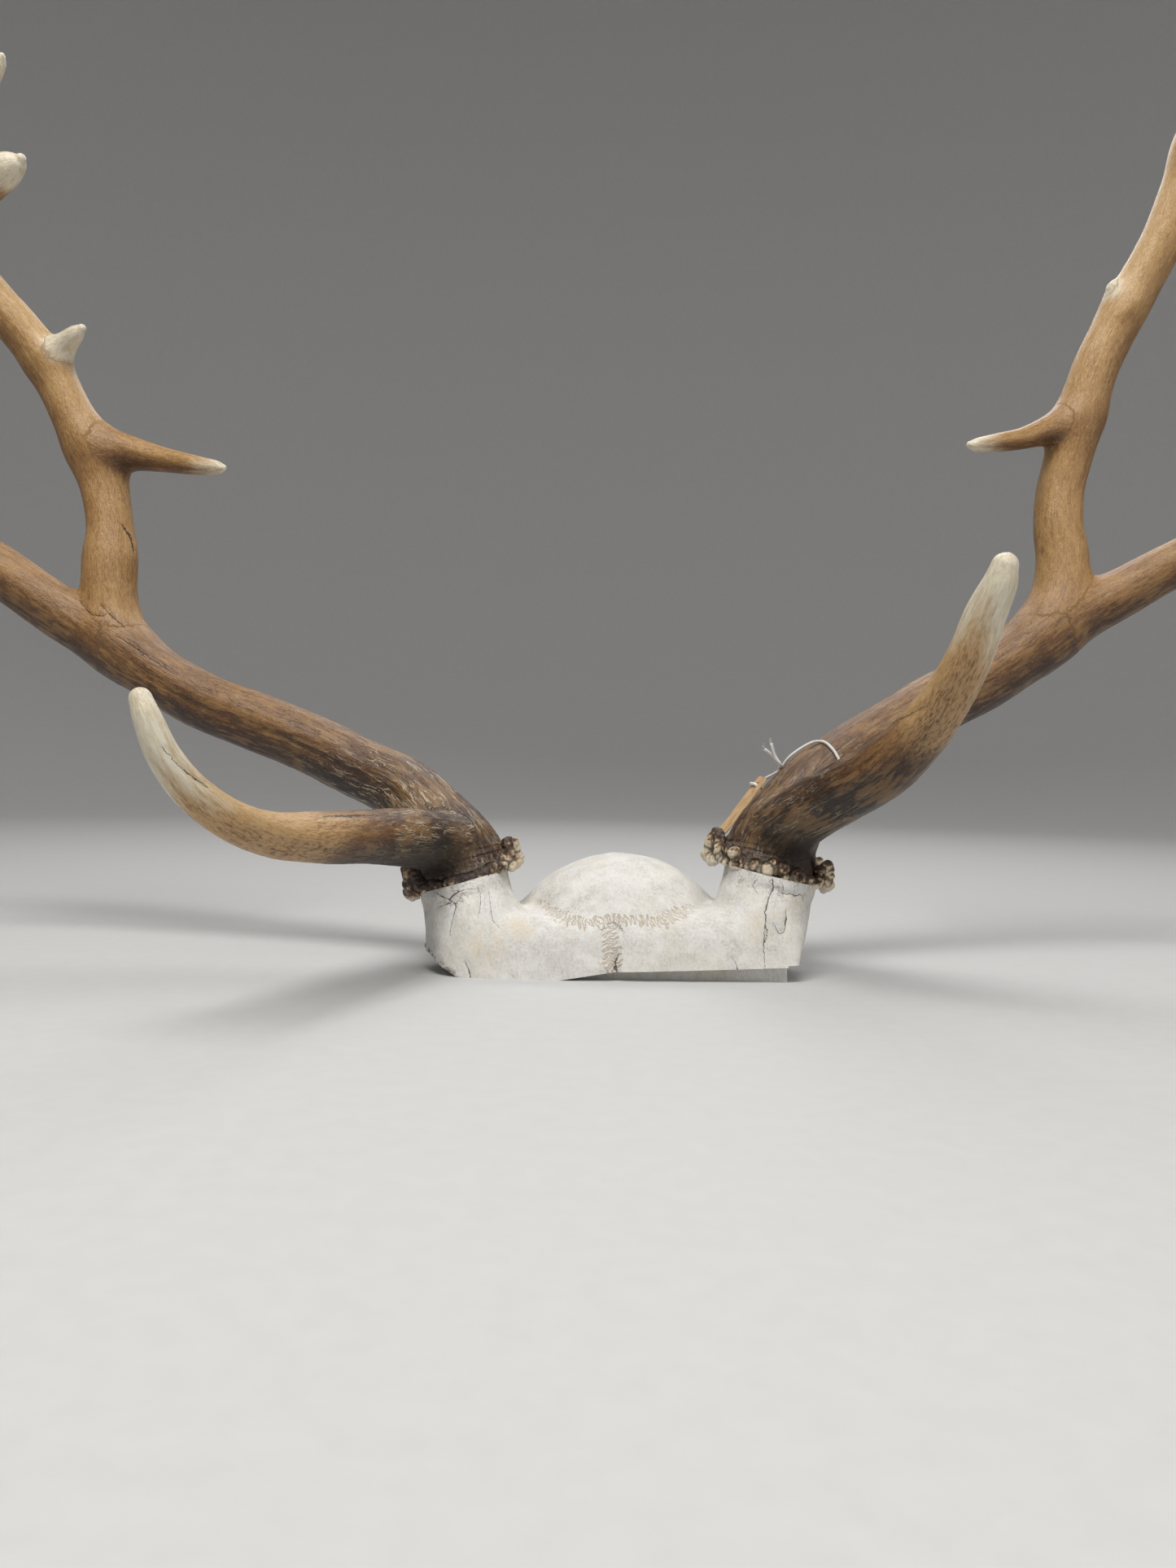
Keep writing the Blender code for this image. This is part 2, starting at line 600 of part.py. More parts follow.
def tag(name, collection):
    """A blank card with round corners and one punched hole."""
    radius = TAG_CORNER_RADIUS
    low = Vector((-TAG_LENGTH + radius, radius))
    high = Vector((-radius, TAG_WIDTH - radius))
    corners = [(high.x, high.y, 0), (low.x, high.y, 90), (low.x, low.y, 180), (high.x, low.y, 270)]
    outline = []
    for x, y, start in corners:
        for step in range(4):
            turn = math.radians(start + 30 * step)
            outline.append((x + radius * math.cos(turn), y + radius * math.sin(turn)))
    hole = []
    for step in range(10):
        turn = math.radians(-36 * step)
        hole.append((-TAG_HOLE_FROM_END + TAG_HOLE_RADIUS * math.cos(turn),
                     TAG_WIDTH / 2 + TAG_HOLE_RADIUS * math.sin(turn)))
    finish_mesh(flat_shape(name, [outline, hole], TAG_THICKNESS, tag_frame(), collection))


def string_route():
    """The string's whole route in mm: free end, knot, round the beam, through the tag, free end."""
    middle = Vector((0.0, TAG_WIDTH / 2, 0.0))
    at_tag = [tag_frame() @ (Vector(point) * MM + middle) / MM for point in STRING_AT_TAG]
    wrap = [beside_beam(RIGHT_BEAM, *step) for step in STRING_WRAP]
    tie = wrap[0] + TIE_FROM_KNOT
    return FIRST_FREE_END + wrap + at_tag + [tie] + LAST_FREE_END


def tag_string(name, collection):
    """A cotton string as one round tube, with the knot fused on."""
    route = smooth_path(string_route(), STRING_POINTS)
    curve = bpy.data.curves.new(name + "_route", "CURVE")
    curve.dimensions = "3D"
    curve.bevel_depth = STRING_RADIUS
    curve.bevel_resolution = 2
    curve.use_fill_caps = True
    spline = curve.splines.new("POLY")
    spline.points.add(len(route) - 1)
    for point, place in zip(spline.points, route):
        point.co = (*(place * MM), 1.0)
    source = add_to(collection, name + "_route", curve)
    string = as_mesh(name, source, collection)
    knot_place = beside_beam(RIGHT_BEAM, *STRING_WRAP[0]) * MM
    knot = ball("knot", knot_place, (KNOT_RADIUS, KNOT_RADIUS, KNOT_RADIUS), collection, rings=6)
    boolean(string, knot, "UNION")
    finish_mesh(string)


def build():
    """Make every piece, and stand them on the saw cut."""
    clear_scene()
    pieces = make_collection("deer_antlers")
    cutters = make_collection("cutters")
    skull_cap(pieces, cutters)
    antler("left", -1, {
        "beam": LEFT_BEAM, "brow": LEFT_BROW_TINE, "outer": LEFT_OUTER_TINE,
        "upper": LEFT_UPPER_BEAM, "inner": LEFT_INNER_TINE, "bud": LEFT_BUD,
        "flat": LEFT_FLAT_TINE, "middle": LEFT_MIDDLE_TINE}, pieces, cutters)
    antler("right", 1, {
        "beam": RIGHT_BEAM, "brow": RIGHT_BROW_TINE, "outer": RIGHT_OUTER_TINE,
        "upper": RIGHT_UPPER_BEAM, "inner": RIGHT_INNER_TINE, "bud": RIGHT_NUB,
        "flat": RIGHT_FLAT_TINE, "middle": RIGHT_MIDDLE_TINE}, pieces, cutters)
    tag("tag", pieces)
    tag_string("tag_string", pieces)
    stand = saw_plane().inverted()
    for piece in pieces.objects:
        paint(piece)
        piece.data.transform(stand @ piece.matrix_world)
        piece.matrix_world = Matrix.Identity(4)


build()
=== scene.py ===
# %% [markdown]
# # A pair of red deer antlers on a sawn skull cap
# Antlers are bone that grows along branching lines. This lesson builds each one the same way:
# growth lines first, then rough tubes along them, one skin over all the tubes, and at last the
# furrows and colours that follow the growth. The skull cap, the string and the card tag follow.

# %% Load the measured model
import itertools
import math

import bmesh
import bpy
import numpy as np
from mathutils import Matrix, Vector


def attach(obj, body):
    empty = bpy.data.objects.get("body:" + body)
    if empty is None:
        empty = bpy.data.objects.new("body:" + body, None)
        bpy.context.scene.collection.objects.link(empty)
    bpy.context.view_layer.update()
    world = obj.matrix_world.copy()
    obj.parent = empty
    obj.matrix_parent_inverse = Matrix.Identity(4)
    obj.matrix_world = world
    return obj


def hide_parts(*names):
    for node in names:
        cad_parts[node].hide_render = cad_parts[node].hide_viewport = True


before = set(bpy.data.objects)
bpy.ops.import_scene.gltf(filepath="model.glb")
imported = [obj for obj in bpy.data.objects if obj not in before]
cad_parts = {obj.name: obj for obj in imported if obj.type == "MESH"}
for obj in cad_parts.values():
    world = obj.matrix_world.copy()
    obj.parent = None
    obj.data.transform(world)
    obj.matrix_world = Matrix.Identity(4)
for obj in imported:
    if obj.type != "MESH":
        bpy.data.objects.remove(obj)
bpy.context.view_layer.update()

# %% [markdown]
# ## Units, and the turn onto the saw cut
# The shapes are laid out in millimetres with the brow level. The real cap is sawn a little
# askew, so everything is turned at the end to stand on that cut, as the measured model does.

# %% Layout millimetres to scene metres
MM = 0.001
SAW_CUT_MIDDLE = Vector((0.0, -33.0, -2.0)) * MM
SAW_CUT_LEAN = math.radians(2.1)
LAYOUT = Matrix.Translation(SAW_CUT_MIDDLE) @ Matrix.Rotation(SAW_CUT_LEAN, 4, "Y")
STAND = LAYOUT.inverted()


def deselect_all():
    """Operators act on all that is selected, and loading leaves the model selected."""
    bpy.ops.object.select_all(action="DESELECT")


def choose(piece, *others):
    """Select pieces, with the first one active."""
    deselect_all()
    for one in (piece, *others):
        one.select_set(True)
    bpy.context.view_layer.objects.active = piece


def add_object(name, data):
    """Put new data into the scene as an object."""
    made = bpy.data.objects.new(name, data)
    bpy.context.scene.collection.objects.link(made)
    return made


def edit_all(piece, operator, **settings):
    """Run one edit mode operator on the whole of a piece."""
    choose(piece)
    bpy.ops.object.mode_set(mode="EDIT")
    bpy.ops.mesh.select_all(action="SELECT")
    operator(**settings)
    bpy.ops.object.mode_set(mode="OBJECT")


def apply_modifier(piece, kind, **settings):
    """Add one modifier with its settings, and apply it."""
    choose(piece)
    modifier = piece.modifiers.new(kind.lower(), kind)
    for name, value in settings.items():
        setattr(modifier, name, value)
    bpy.ops.object.modifier_apply(modifier=modifier.name)


def read_points(piece):
    """A piece's vertices as rows of layout millimetres."""
    points = np.empty(len(piece.data.vertices) * 3)
    piece.data.vertices.foreach_get("co", points)
    return points.reshape(-1, 3) / MM


def read_normals(piece):
    """A piece's vertex normals as rows."""
    normals = np.empty(len(piece.data.vertices) * 3)
    piece.data.vertex_normals.foreach_get("vector", normals)
    return normals.reshape(-1, 3)


def write_points(piece, points):
    """Move a piece's vertices to rows of layout millimetres."""
    piece.data.vertices.foreach_set("co", (points * MM).ravel())
    piece.data.update()


def count_triangles(piece):
    """How many triangles a piece's faces come to."""
    return sum(len(face.vertices) - 2 for face in piece.data.polygons)


def stand_on_cut(piece, name):
    """Name a finished piece, smooth its shading and turn it onto the saw cut."""
    piece.name = name
    piece.data.name = name
    piece.data.transform(STAND)
    piece.data.shade_smooth()
    print(name, count_triangles(piece), "triangles")


def store(piece, **marks):
    """Keep numbers or vectors for each vertex under their names, for the materials to read."""
    for name, values in marks.items():
        kind, part = ("FLOAT", "value") if values.ndim == 1 else ("FLOAT_VECTOR", "vector")
        layer = piece.data.attributes.new(name, kind, "POINT")
        layer.data.foreach_set(part, values.astype(np.float32).ravel())


# %% [markdown]
# ## Growth lines
# Each branch is a line of (x, y, z, radius) from root to tip, in millimetres: x to the right,
# y to the back, z up. Two antlers of one stag are alike but never the same, so each has its own.

# %% Left antler's growth lines
LEFT_LINES = {
    "beam": [(-69, -1, 33, 23.6), (-72, 0, 43, 23.2), (-74, 1, 49, 21.2), (-78, 3.5, 57, 18.6),
             (-88, 8, 69, 17.0), (-103, 14, 83, 15.8),
             (-124, 20, 93, 14.8), (-148, 26, 105, 14.6), (-177, 32, 117, 14.6),
             (-207, 37, 129, 14.4), (-232, 40, 144, 14.2), (-252, 42, 159, 13.6)],
    "outer_tine": [(-244, 41, 153, 12.6), (-272, 42, 170, 13.2), (-289, 40, 182, 13.0),
                   (-308, 36, 197, 12.6), (-327, 28, 210, 11.6), (-345, 18, 226, 9.6),
                   (-356, 8, 242, 7.0), (-361, 2, 255, 4.0), (-363, 0, 260, 1.6)],
    "upper_beam": [(-249, 42, 157, 12.2), (-255.5, 44, 183, 12.8), (-257, 46, 202, 12.6),
                   (-257, 48, 219, 10.8), (-260.5, 50, 240, 10.8), (-266.5, 50, 259, 11.6),
                   (-274, 48, 277, 10.8), (-284.5, 46, 300, 10.2), (-297, 42, 319, 10.6),
                   (-310, 38, 334, 11.2), (-322, 34, 351, 11.6), (-330, 31, 371, 11.4),
                   (-340, 34, 394, 9.2), (-356, 40, 419, 7.4), (-369, 47, 445, 5.2),
                   (-375, 51, 461, 3.0), (-377, 52, 466, 1.3)],
    "inner_tine": [(-265, 50, 262, 11.0), (-248, 47, 258, 9.0), (-226, 41, 252, 6.3),
                   (-208, 33, 247, 5.0), (-195, 27, 244, 3.6), (-190, 24, 243, 1.6)],
    "web": [(-262, 50, 264, 5.0), (-254.5, 49, 252, 4.6), (-251.5, 48, 238, 3.4),
            (-249.5, 47, 220, 2.8), (-247.5, 46, 204, 3.6), (-250, 46, 190, 2.4)],
    "bud": [(-286, 46, 303, 8.0), (-274, 40, 310, 5.8), (-266, 35, 314, 4.2),
            (-262, 33, 316, 2.2)],
    "flat_tine": [(-328, 30, 366, 9.4), (-314, 25, 376, 9.0), (-301, 20, 382, 8.6),
                  (-289, 16, 387, 7.4), (-283, 14, 389, 4.6), (-281, 13, 390, 2.4)],
    "middle_tine": [(-329, 30, 371, 9.8), (-322, 25, 388, 8.8), (-310, 16, 406, 7.2),
                    (-296, 8, 420, 5.4), (-286, 3, 429, 3.6), (-283, 1, 432, 1.6)],
    "brow_tine": [(-77, -2, 56, 14.2), (-90, -36, 62, 13.2), (-103, -70, 65, 11.4),
                  (-115, -104, 67, 10.0), (-126, -134, 70, 8.4), (-134, -158, 76, 7.2),
                  (-142, -174, 86, 6.3), (-148, -183, 98, 5.5), (-152, -186, 110, 4.7),
                  (-154.5, -185.5, 117, 3.7)],
}

# %% Right antler's growth lines
RIGHT_LINES = {
    "beam": [(68, -1, 33, 24.8), (71, 0, 43, 24.4), (73, 1, 49, 22.2), (77, 3.5, 58, 19.4),
             (86, 8, 70, 17.8), (100, 14, 84, 16.6),
             (118, 20, 96, 15.8), (140, 26, 108, 15.6), (163, 32, 121, 15.4),
             (187, 37, 132, 15.2), (206, 40, 144, 15.0), (223, 42, 156, 14.2)],
    "outer_tine": [(216, 41, 151, 12.8), (241, 42, 166, 13.0), (258, 40, 175, 12.4),
                   (278, 37, 186, 11.8), (297, 30, 196, 10.8), (313, 20, 208, 8.8),
                   (325, 11, 223, 6.4), (331, 5, 236, 3.8), (333, 3, 241, 1.6)],
    "upper_beam": [(217, 42, 154, 12.6), (229, 44, 174, 13.6), (232, 46, 193, 12.9),
                   (231, 48, 211, 12.1), (233, 50, 230, 11.7), (238, 50, 249, 11.7),
                   (244, 49, 271, 11.7), (251, 47, 293, 11.3), (261, 45, 313, 10.9),
                   (272, 42, 334, 10.8), (282, 38, 354, 10.7), (290, 35, 375, 10.9),
                   (298, 33, 397, 10.8), (312, 35, 417, 8.9), (331, 42, 438, 7.0),
                   (347, 49, 460, 4.8), (353, 52, 472, 2.8), (355, 53, 476, 1.3)],
    "inner_tine": [(244, 51, 268, 10.0), (227, 45, 261, 7.4), (209, 37, 254, 5.4),
                   (193, 29, 250, 4.4), (182, 25, 248, 3.2), (178, 24, 248, 1.5)],
    "nub": [(262, 44, 322, 8.0), (259, 42, 327, 4.2), (257.5, 41, 330, 2.2)],
    "flat_tine": [(296, 31, 392, 9.2), (295, 20, 402, 8.6), (292, 7, 410, 7.4),
                  (287, -4, 416, 5.6), (283, -11, 420, 3.2), (282, -13, 421, 1.5)],
    "middle_tine": [(297, 31, 397, 9.4), (298, 24, 414, 8.6), (296, 16, 431, 7.0),
                    (291, 9, 448, 4.8), (287, 5, 458, 2.8), (286, 4, 461, 1.3)],
    "brow_tine": [(75, -2, 57, 15.0), (85, -31, 70, 14.0), (97, -54, 80, 13.0),
                  (109, -75, 90, 12.4), (119, -92, 103, 11.0), (126, -106, 117, 9.4),
                  (131, -118, 132, 8.5), (134, -126, 146, 7.6), (137, -132, 156, 6.3),
                  (138.3, -134.3, 162.5, 4.8)],
}
print("branches", len(LEFT_LINES), "left and", len(RIGHT_LINES), "right")

# %% [markdown]
# ## Walking along a line
# A smooth curve through the points is cut into even steps. Each step keeps its direction and
# two sideways directions that turn with the curve, so any spot on the branch gets a distance
# along it and an angle round it. Furrows and colours are laid out in those two numbers.

# %% Smooth lines with their own directions
LINE_STEP = 1.5
CURVE_STEPS = 24    # fine steps between two given points, before the even ones are taken
FAR_OFF = 1e3
ROWS_AT_ONCE = 20000    # points compared with a line at a time, to save memory
ROOTED = ("beam", "pedicle")    # these run on below their first point; the others begin round


def smooth_curve(points):
    """Many points on a Catmull-Rom curve through a few."""
    points = np.array(points, float)
    padded = np.vstack([2 * points[0] - points[1], points, 2 * points[-1] - points[-2]])
    parts = []
    for first in range(len(points) - 1):
        a, b, c, d = padded[first:first + 4]
        t = np.linspace(0, 1, CURVE_STEPS, endpoint=False)[:, None]
        parts.append(0.5 * (2 * b + (c - a) * t + (2 * a - 5 * b + 4 * c - d) * t ** 2
                            + (3 * b - a - 3 * c + d) * t ** 3))
    return np.vstack(parts + [points[-1:]])


def distances_along(places):
    """How far along a chain of places each one lies."""
    gaps = np.linalg.norm(np.diff(places, axis=0), axis=1)
    return np.concatenate([[0.0], np.cumsum(gaps)])


def even_curve(points, step):
    """The same curve at even distances, and those distances."""
    curve = smooth_curve(points)
    travelled = distances_along(curve[:, :3])
    along = np.linspace(0.0, travelled[-1], int(travelled[-1] / step) + 2)
    even = [np.interp(along, travelled, curve[:, column]) for column in range(curve.shape[1])]
    return np.column_stack(even), along


def turning_frames(places):
    """Forward, side and up directions that follow a curve without spinning round it."""
    forward = np.gradient(places, axis=0)
    forward /= np.linalg.norm(forward, axis=1)[:, None]
    side = np.empty_like(forward)
    start = np.cross(forward[0], (0.0, 0.0, 1.0))
    side[0] = start / np.linalg.norm(start)
    for index in range(1, len(places)):
        turned = side[index - 1] - forward[index] * np.dot(side[index - 1], forward[index])
        side[index] = turned / np.linalg.norm(turned)
    return forward, side, np.cross(side, forward)


# %% [markdown]
# ## A branch as a growth line
# Bark, furrows and stains on a real antler follow the branch that they grew on. Any spot near
# a branch is therefore looked up on its line, which gives the distance along, the angle round
# and the gap to the branch's skin. One class keeps those answers together for every branch.

# %% One branch
class GrowthLine:
    """One branch: an even curve with a radius, and directions at each step."""

    def __init__(self, name, points):
        self.name = name
        self.below_root = FAR_OFF if name in ROOTED else 0.0
        curve, self.along = even_curve(points, LINE_STEP)
        self.places = curve[:, :3]
        self.radius = curve[:, 3]
        self.length = self.along[-1]
        self.forward, self.side, self.up = turning_frames(self.places)

    def nearest(self, points):
        """Distance along, angle round, radius there, gap to the skin, outward, and laid out."""
        step = np.concatenate([np.empty(0, int)] + [
            ((self.places ** 2).sum(1) - 2 * some @ self.places.T).argmin(1)
            for some in np.array_split(points, len(points) // ROWS_AT_ONCE + 1)])
        away = points - self.places[step]
        back = np.where(step == 0, self.below_root, LINE_STEP)
        front = np.where(step == len(self.along) - 1, 0.0, LINE_STEP)
        ahead = (away * self.forward[step]).sum(1)
        laid = np.column_stack([(away * self.side[step]).sum(1), (away * self.up[step]).sum(1),
                                self.along[step] + ahead])
        ahead = np.clip(ahead, -back, front)
        along = self.along[step] + ahead
        away -= self.forward[step] * ahead[:, None]
        distance = np.maximum(np.linalg.norm(away, axis=1), 1e-6)
        angle = np.arctan2((away * self.up[step]).sum(1), (away * self.side[step]).sum(1))
        radius = np.interp(along, self.along, self.radius)
        return along, angle, radius, distance - radius, away / distance[:, None], laid


print("left beam", round(GrowthLine("beam", LEFT_LINES["beam"]).length), "mm long")

# %% [markdown]
# ## Grain
# Soft random hills on a lattice make every natural roughness here. Stretched along the growth
# they are furrows, squeezed they are beads. A fixed seed gives the same antler every time.

# %% Lattice noise in three directions
def lattice_noise(x, y, z, seed=0):
    """Smooth noise of about -0.7 to 0.7, with hills one unit wide."""
    points = np.stack(np.broadcast_arrays(x, y, z), axis=1).astype(float)
    cell = np.floor(points)
    inside = points - cell
    cell = cell.astype(np.int64)
    fade = inside ** 3 * (inside * (inside * 6 - 15) + 10)
    total = np.zeros(len(points))
    for corner in range(8):
        step = np.array([corner & 1, corner >> 1 & 1, corner >> 2 & 1])
        spot = (cell + step) & 0xFFFF
        mixed = (spot[:, 0] * 73856093 ^ spot[:, 1] * 19349663 ^ spot[:, 2] * 83492791
                 ^ (seed + 1) * 2654435) & 0x7FFFFFFF
        mixed = (mixed ^ mixed >> 13) * 1274126177 & 0x7FFFFFFF
        mixed ^= mixed >> 16
        parts = [mixed >> shift & 1023 for shift in (0, 10, 20)]
        slopes = np.stack(parts, axis=1) / 511.5 - 1
        weight = np.prod(np.where(step == 1, fade, 1 - fade), axis=1)
        total += weight * (slopes * (inside - step)).sum(1)
    return total


def hills(points, widths, seed):
    """Smooth noise at some points, with hills of these widths in mm."""
    return lattice_noise(*(points / widths).T, seed)


def ease(values, low, high):
    """0 below low, 1 above high, and a soft step between."""
    t = np.clip((values - low) / (high - low), 0, 1)
    return t * t * (3 - 2 * t)


print("some noise", lattice_noise(np.arange(0.3, 4), 0.5, 0.5).round(2))

# %% [markdown]
# ## Burr pearls
# Where an antler meets the skull it flares into a rough crown of beads, the burr. Round beads
# would be quick but look like a necklace, so sizes, heights and gaps vary, the ends have taller
# lobes, and some beads are hollow.

# %% Places and sizes of the pearls
BURR_X = 72.0
BURR_Z = 40.8
BURR_TILT = math.radians(14.5)
# Pearls that show from the front:
# (angle from the front, height, radius, distance from the middle, hollow, paleness)
LEFT_PEARLS = [
    (-84, 9.0, 3.4, 24.6, 0.2, 0.10), (-80, 3.4, 5.4, 25.2, 0.3, 0.15),
    (-66, 11.0, 3.6, 26.2, 1.0, 0.50), (-64, 1.8, 3.8, 25.6, 0.2, 0.30),
    (-70, 6.6, 4.2, 24.0, 0.0, 0.10), (-56, 8.0, 3.2, 23.4, 0.0, 0.05),
    (-50, 4.2, 3.0, 24.8, 0.3, 0.10), (-40, 1.8, 2.6, 25.0, 0.0, 0.30),
    (-32, 3.0, 2.3, 24.8, 0.2, 0.08), (-23, 1.6, 2.0, 24.9, 0.0, 0.15),
    (-14, 2.2, 1.7, 24.8, 0.0, 0.30), (-7, 2.0, 1.9, 25.0, 0.0, 0.90),
    (0, 1.5, 2.2, 24.8, 0.3, 0.05), (7, 0.9, 1.8, 24.8, 0.0, 0.15),
    (14, 1.2, 1.9, 24.8, 0.3, 0.20), (21, 1.6, 1.6, 24.8, 0.0, 0.65),
    (28, 1.2, 1.8, 24.8, 0.2, 0.10), (34, 2.6, 1.9, 24.8, 0.0, 0.35),
    (40, 3.4, 1.4, 25.0, 0.0, 0.85), (46, 1.6, 1.7, 24.9, 0.8, 0.05),
    (53, 3.0, 1.9, 25.2, 0.0, 0.80), (60, 4.6, 2.3, 25.4, 0.0, 0.70),
    (64, 1.4, 2.6, 25.6, 0.0, 0.95), (70, 6.8, 2.4, 25.6, 0.2, 0.45),
    (76, 2.0, 3.0, 26.2, 0.0, 0.90), (74, 11.2, 2.7, 25.4, 0.3, 0.30),
    (90, 8.6, 3.0, 26.4, 0.0, 0.85), (92, 3.6, 3.1, 26.0, 0.0, 0.90),
]
RIGHT_PEARLS = [
    (-97, 3.4, 4.3, 28.4, 0.0, 1.00), (-96, 8.0, 4.7, 28.0, 0.0, 0.85),
    (-94, 12.0, 3.0, 27.8, 0.3, 0.45), (-82, 10.4, 3.4, 27.0, 0.5, 0.20),
    (-88, 0.9, 3.0, 27.2, 0.0, 1.00), (-78, 1.0, 2.6, 26.8, 0.0, 1.00),
    (-76, 5.4, 2.8, 27.0, 0.0, 0.80), (-70, 2.8, 1.4, 27.0, 0.0, 0.95),
    (-64, 2.2, 1.3, 26.8, 0.0, 1.00), (-58, 1.6, 1.4, 26.6, 0.0, 0.90),
    (-62, 7.0, 2.4, 25.8, 0.2, 0.08), (-50, 5.8, 2.8, 26.2, 0.0, 0.80),
    (-40, 3.2, 2.9, 26.6, 1.0, 0.15), (-47, 1.4, 1.9, 26.2, 0.0, 0.95),
    (-31, 2.6, 1.7, 26.3, 0.0, 0.85), (-24, 3.6, 2.0, 26.2, 0.1, 0.50),
    (-18, 2.4, 1.7, 26.3, 0.0, 0.95), (-11, 3.2, 2.7, 26.3, 0.0, 0.95),
    (-7, 5.8, 1.5, 25.7, 0.0, 0.70), (-3, 3.8, 1.5, 26.0, 0.0, 0.20),
    (4, 4.8, 2.5, 26.0, 0.8, 0.15), (8, 1.8, 1.6, 26.3, 1.0, 0.50),
    (14, 2.0, 1.5, 26.0, 0.0, 0.70), (21, 3.8, 3.3, 26.3, 1.0, 0.25),
    (29, 2.8, 1.7, 25.8, 0.3, 0.05), (36, 3.2, 2.2, 26.0, 0.0, 0.30),
    (43, 1.2, 2.3, 26.1, 0.0, 0.65), (51, 2.9, 2.7, 26.4, 0.2, 0.45),
    (54, 6.6, 2.3, 25.4, 0.3, 0.10), (52, 11.2, 1.6, 24.2, 0.0, 0.85),
    (64, 8.8, 2.2, 25.6, 0.2, 0.55), (66, 2.0, 3.2, 26.8, 0.0, 0.65),
    (80, 1.8, 3.6, 27.2, 0.0, 0.80), (79, 5.6, 2.6, 27.8, 0.0, 0.60),
    (80, 9.6, 3.0, 26.4, 0.4, 0.25),
]
print("pearls in front", len(LEFT_PEARLS), "left and", len(RIGHT_PEARLS), "right")

# %% [markdown]
# ## The crown as a whole
# A real burr leans outwards with its antler, and its back is as rough as its front. Only the
# front pearls show in the photograph, so those at the back are strewn at random with a fixed
# seed. The lowest ones hang a little over the edge of the pedicle.

# %% Both crowns of pearls
BACK_PEARLS = 22
BACK_FROM = 104    # degrees from the front at which the back pearls begin
BACK_SPAN = 152
BACK_REACH = 25.0
LOW_PEARL = 4.5    # pearls below this height hang
HANG = 1.0    # mm by which the lowest pearls hang over the edge of the pedicle
FOOT_BONE = {-1: (-2.2, -1.4), 1: (-0.8, 0.6)}    # below these heights the burr is white bone
GRANULE = 1.9
GRAINS_FULL, GRAINS_TO = 6, 14    # heights up to which grains are full, and show at all


def burr_frame(side):
    """Place of a burr: its Z leans outwards, and its -Y is the front."""
    lean = Matrix.Rotation(side * BURR_TILT, 4, "Y")
    return Matrix.Translation((side * BURR_X, 0.0, BURR_Z)) @ lean


def burr_seat(side):
    """The middle of a burr's foot, and the direction in which the burr stands on it."""
    frame_there = burr_frame(side)
    return frame_there.translation, frame_there.to_3x3() @ Vector((0, 0, 1))


class Burr:
    """The crown of pearls of one antler, in layout millimetres."""

    def __init__(self, side):
        rng = np.random.default_rng(31 + side)
        rows = list(LEFT_PEARLS if side < 0 else RIGHT_PEARLS)
        for index in range(BACK_PEARLS):
            angle = BACK_FROM + BACK_SPAN * (index + rng.uniform(-0.25, 0.25)) / (BACK_PEARLS - 1)
            rows.append((angle, rng.uniform(1.2, 5.5), rng.uniform(2.0, 4.2),
                         BACK_REACH + 0.7 * side + rng.uniform(-0.6, 0.6),
                         rng.uniform(0, 0.7), rng.uniform(0.1, 0.8)))
        rows = np.array(rows)
        rows[:, 1] -= HANG * (rows[:, 1] < LOW_PEARL)
        turn = np.radians(rows[:, 0])
        reach = rows[:, 3]
        local = np.column_stack([reach * np.sin(turn), -reach * np.cos(turn), rows[:, 1]])
        place = np.array(burr_frame(side))
        self.turn = place[:3, :3]
        self.middle = place[:3, 3]
        self.centres = local @ self.turn.T + self.middle
        outwards = np.column_stack([np.sin(turn), -np.cos(turn), 0.1 + 0 * turn])
        self.axes = outwards / np.linalg.norm(outwards, axis=1)[:, None] @ self.turn.T
        self.radius, self.hollow, self.paleness = rows[:, 2], rows[:, 4], rows[:, 5]
        self.side = side

    def local(self, points):
        """Points in the burr's own directions: outwards, back, and up from the seat."""
        return (points - self.middle) @ self.turn


burrs = {side: Burr(side) for side in (-1, 1)}
print("pearls", len(burrs[-1].radius), len(burrs[1].radius))

# %% [markdown]
# ## One skin over all the branches
# Tubes that merely cross have hard creases. A real fork is webbed, so the skin is where a soft
# minimum of the distances to all branches is nought: it fills the crotches a little and leaves
# the rest alone. Pearls join the same sum with a tighter blend, so they stay beads.

# %% Distance to the shared skin
FORK_BLEND = 3.2
PEARL_BLEND = 0.75
LINE_REACH = 30    # a branch matters this far from its line, in mm
BURR_REACH = 26    # and the pearls this far above and below the seat
DIMPLE = 0.50    # a pearl's hollow is this share of its radius wide


def soft_minimum(gaps, blend):
    """The blended least gap of each column, and each row's share in it."""
    least = gaps.min(0)
    share = np.exp(-(gaps - least) / blend)
    total = share.sum(0)
    return least - blend * np.log(total), share / total


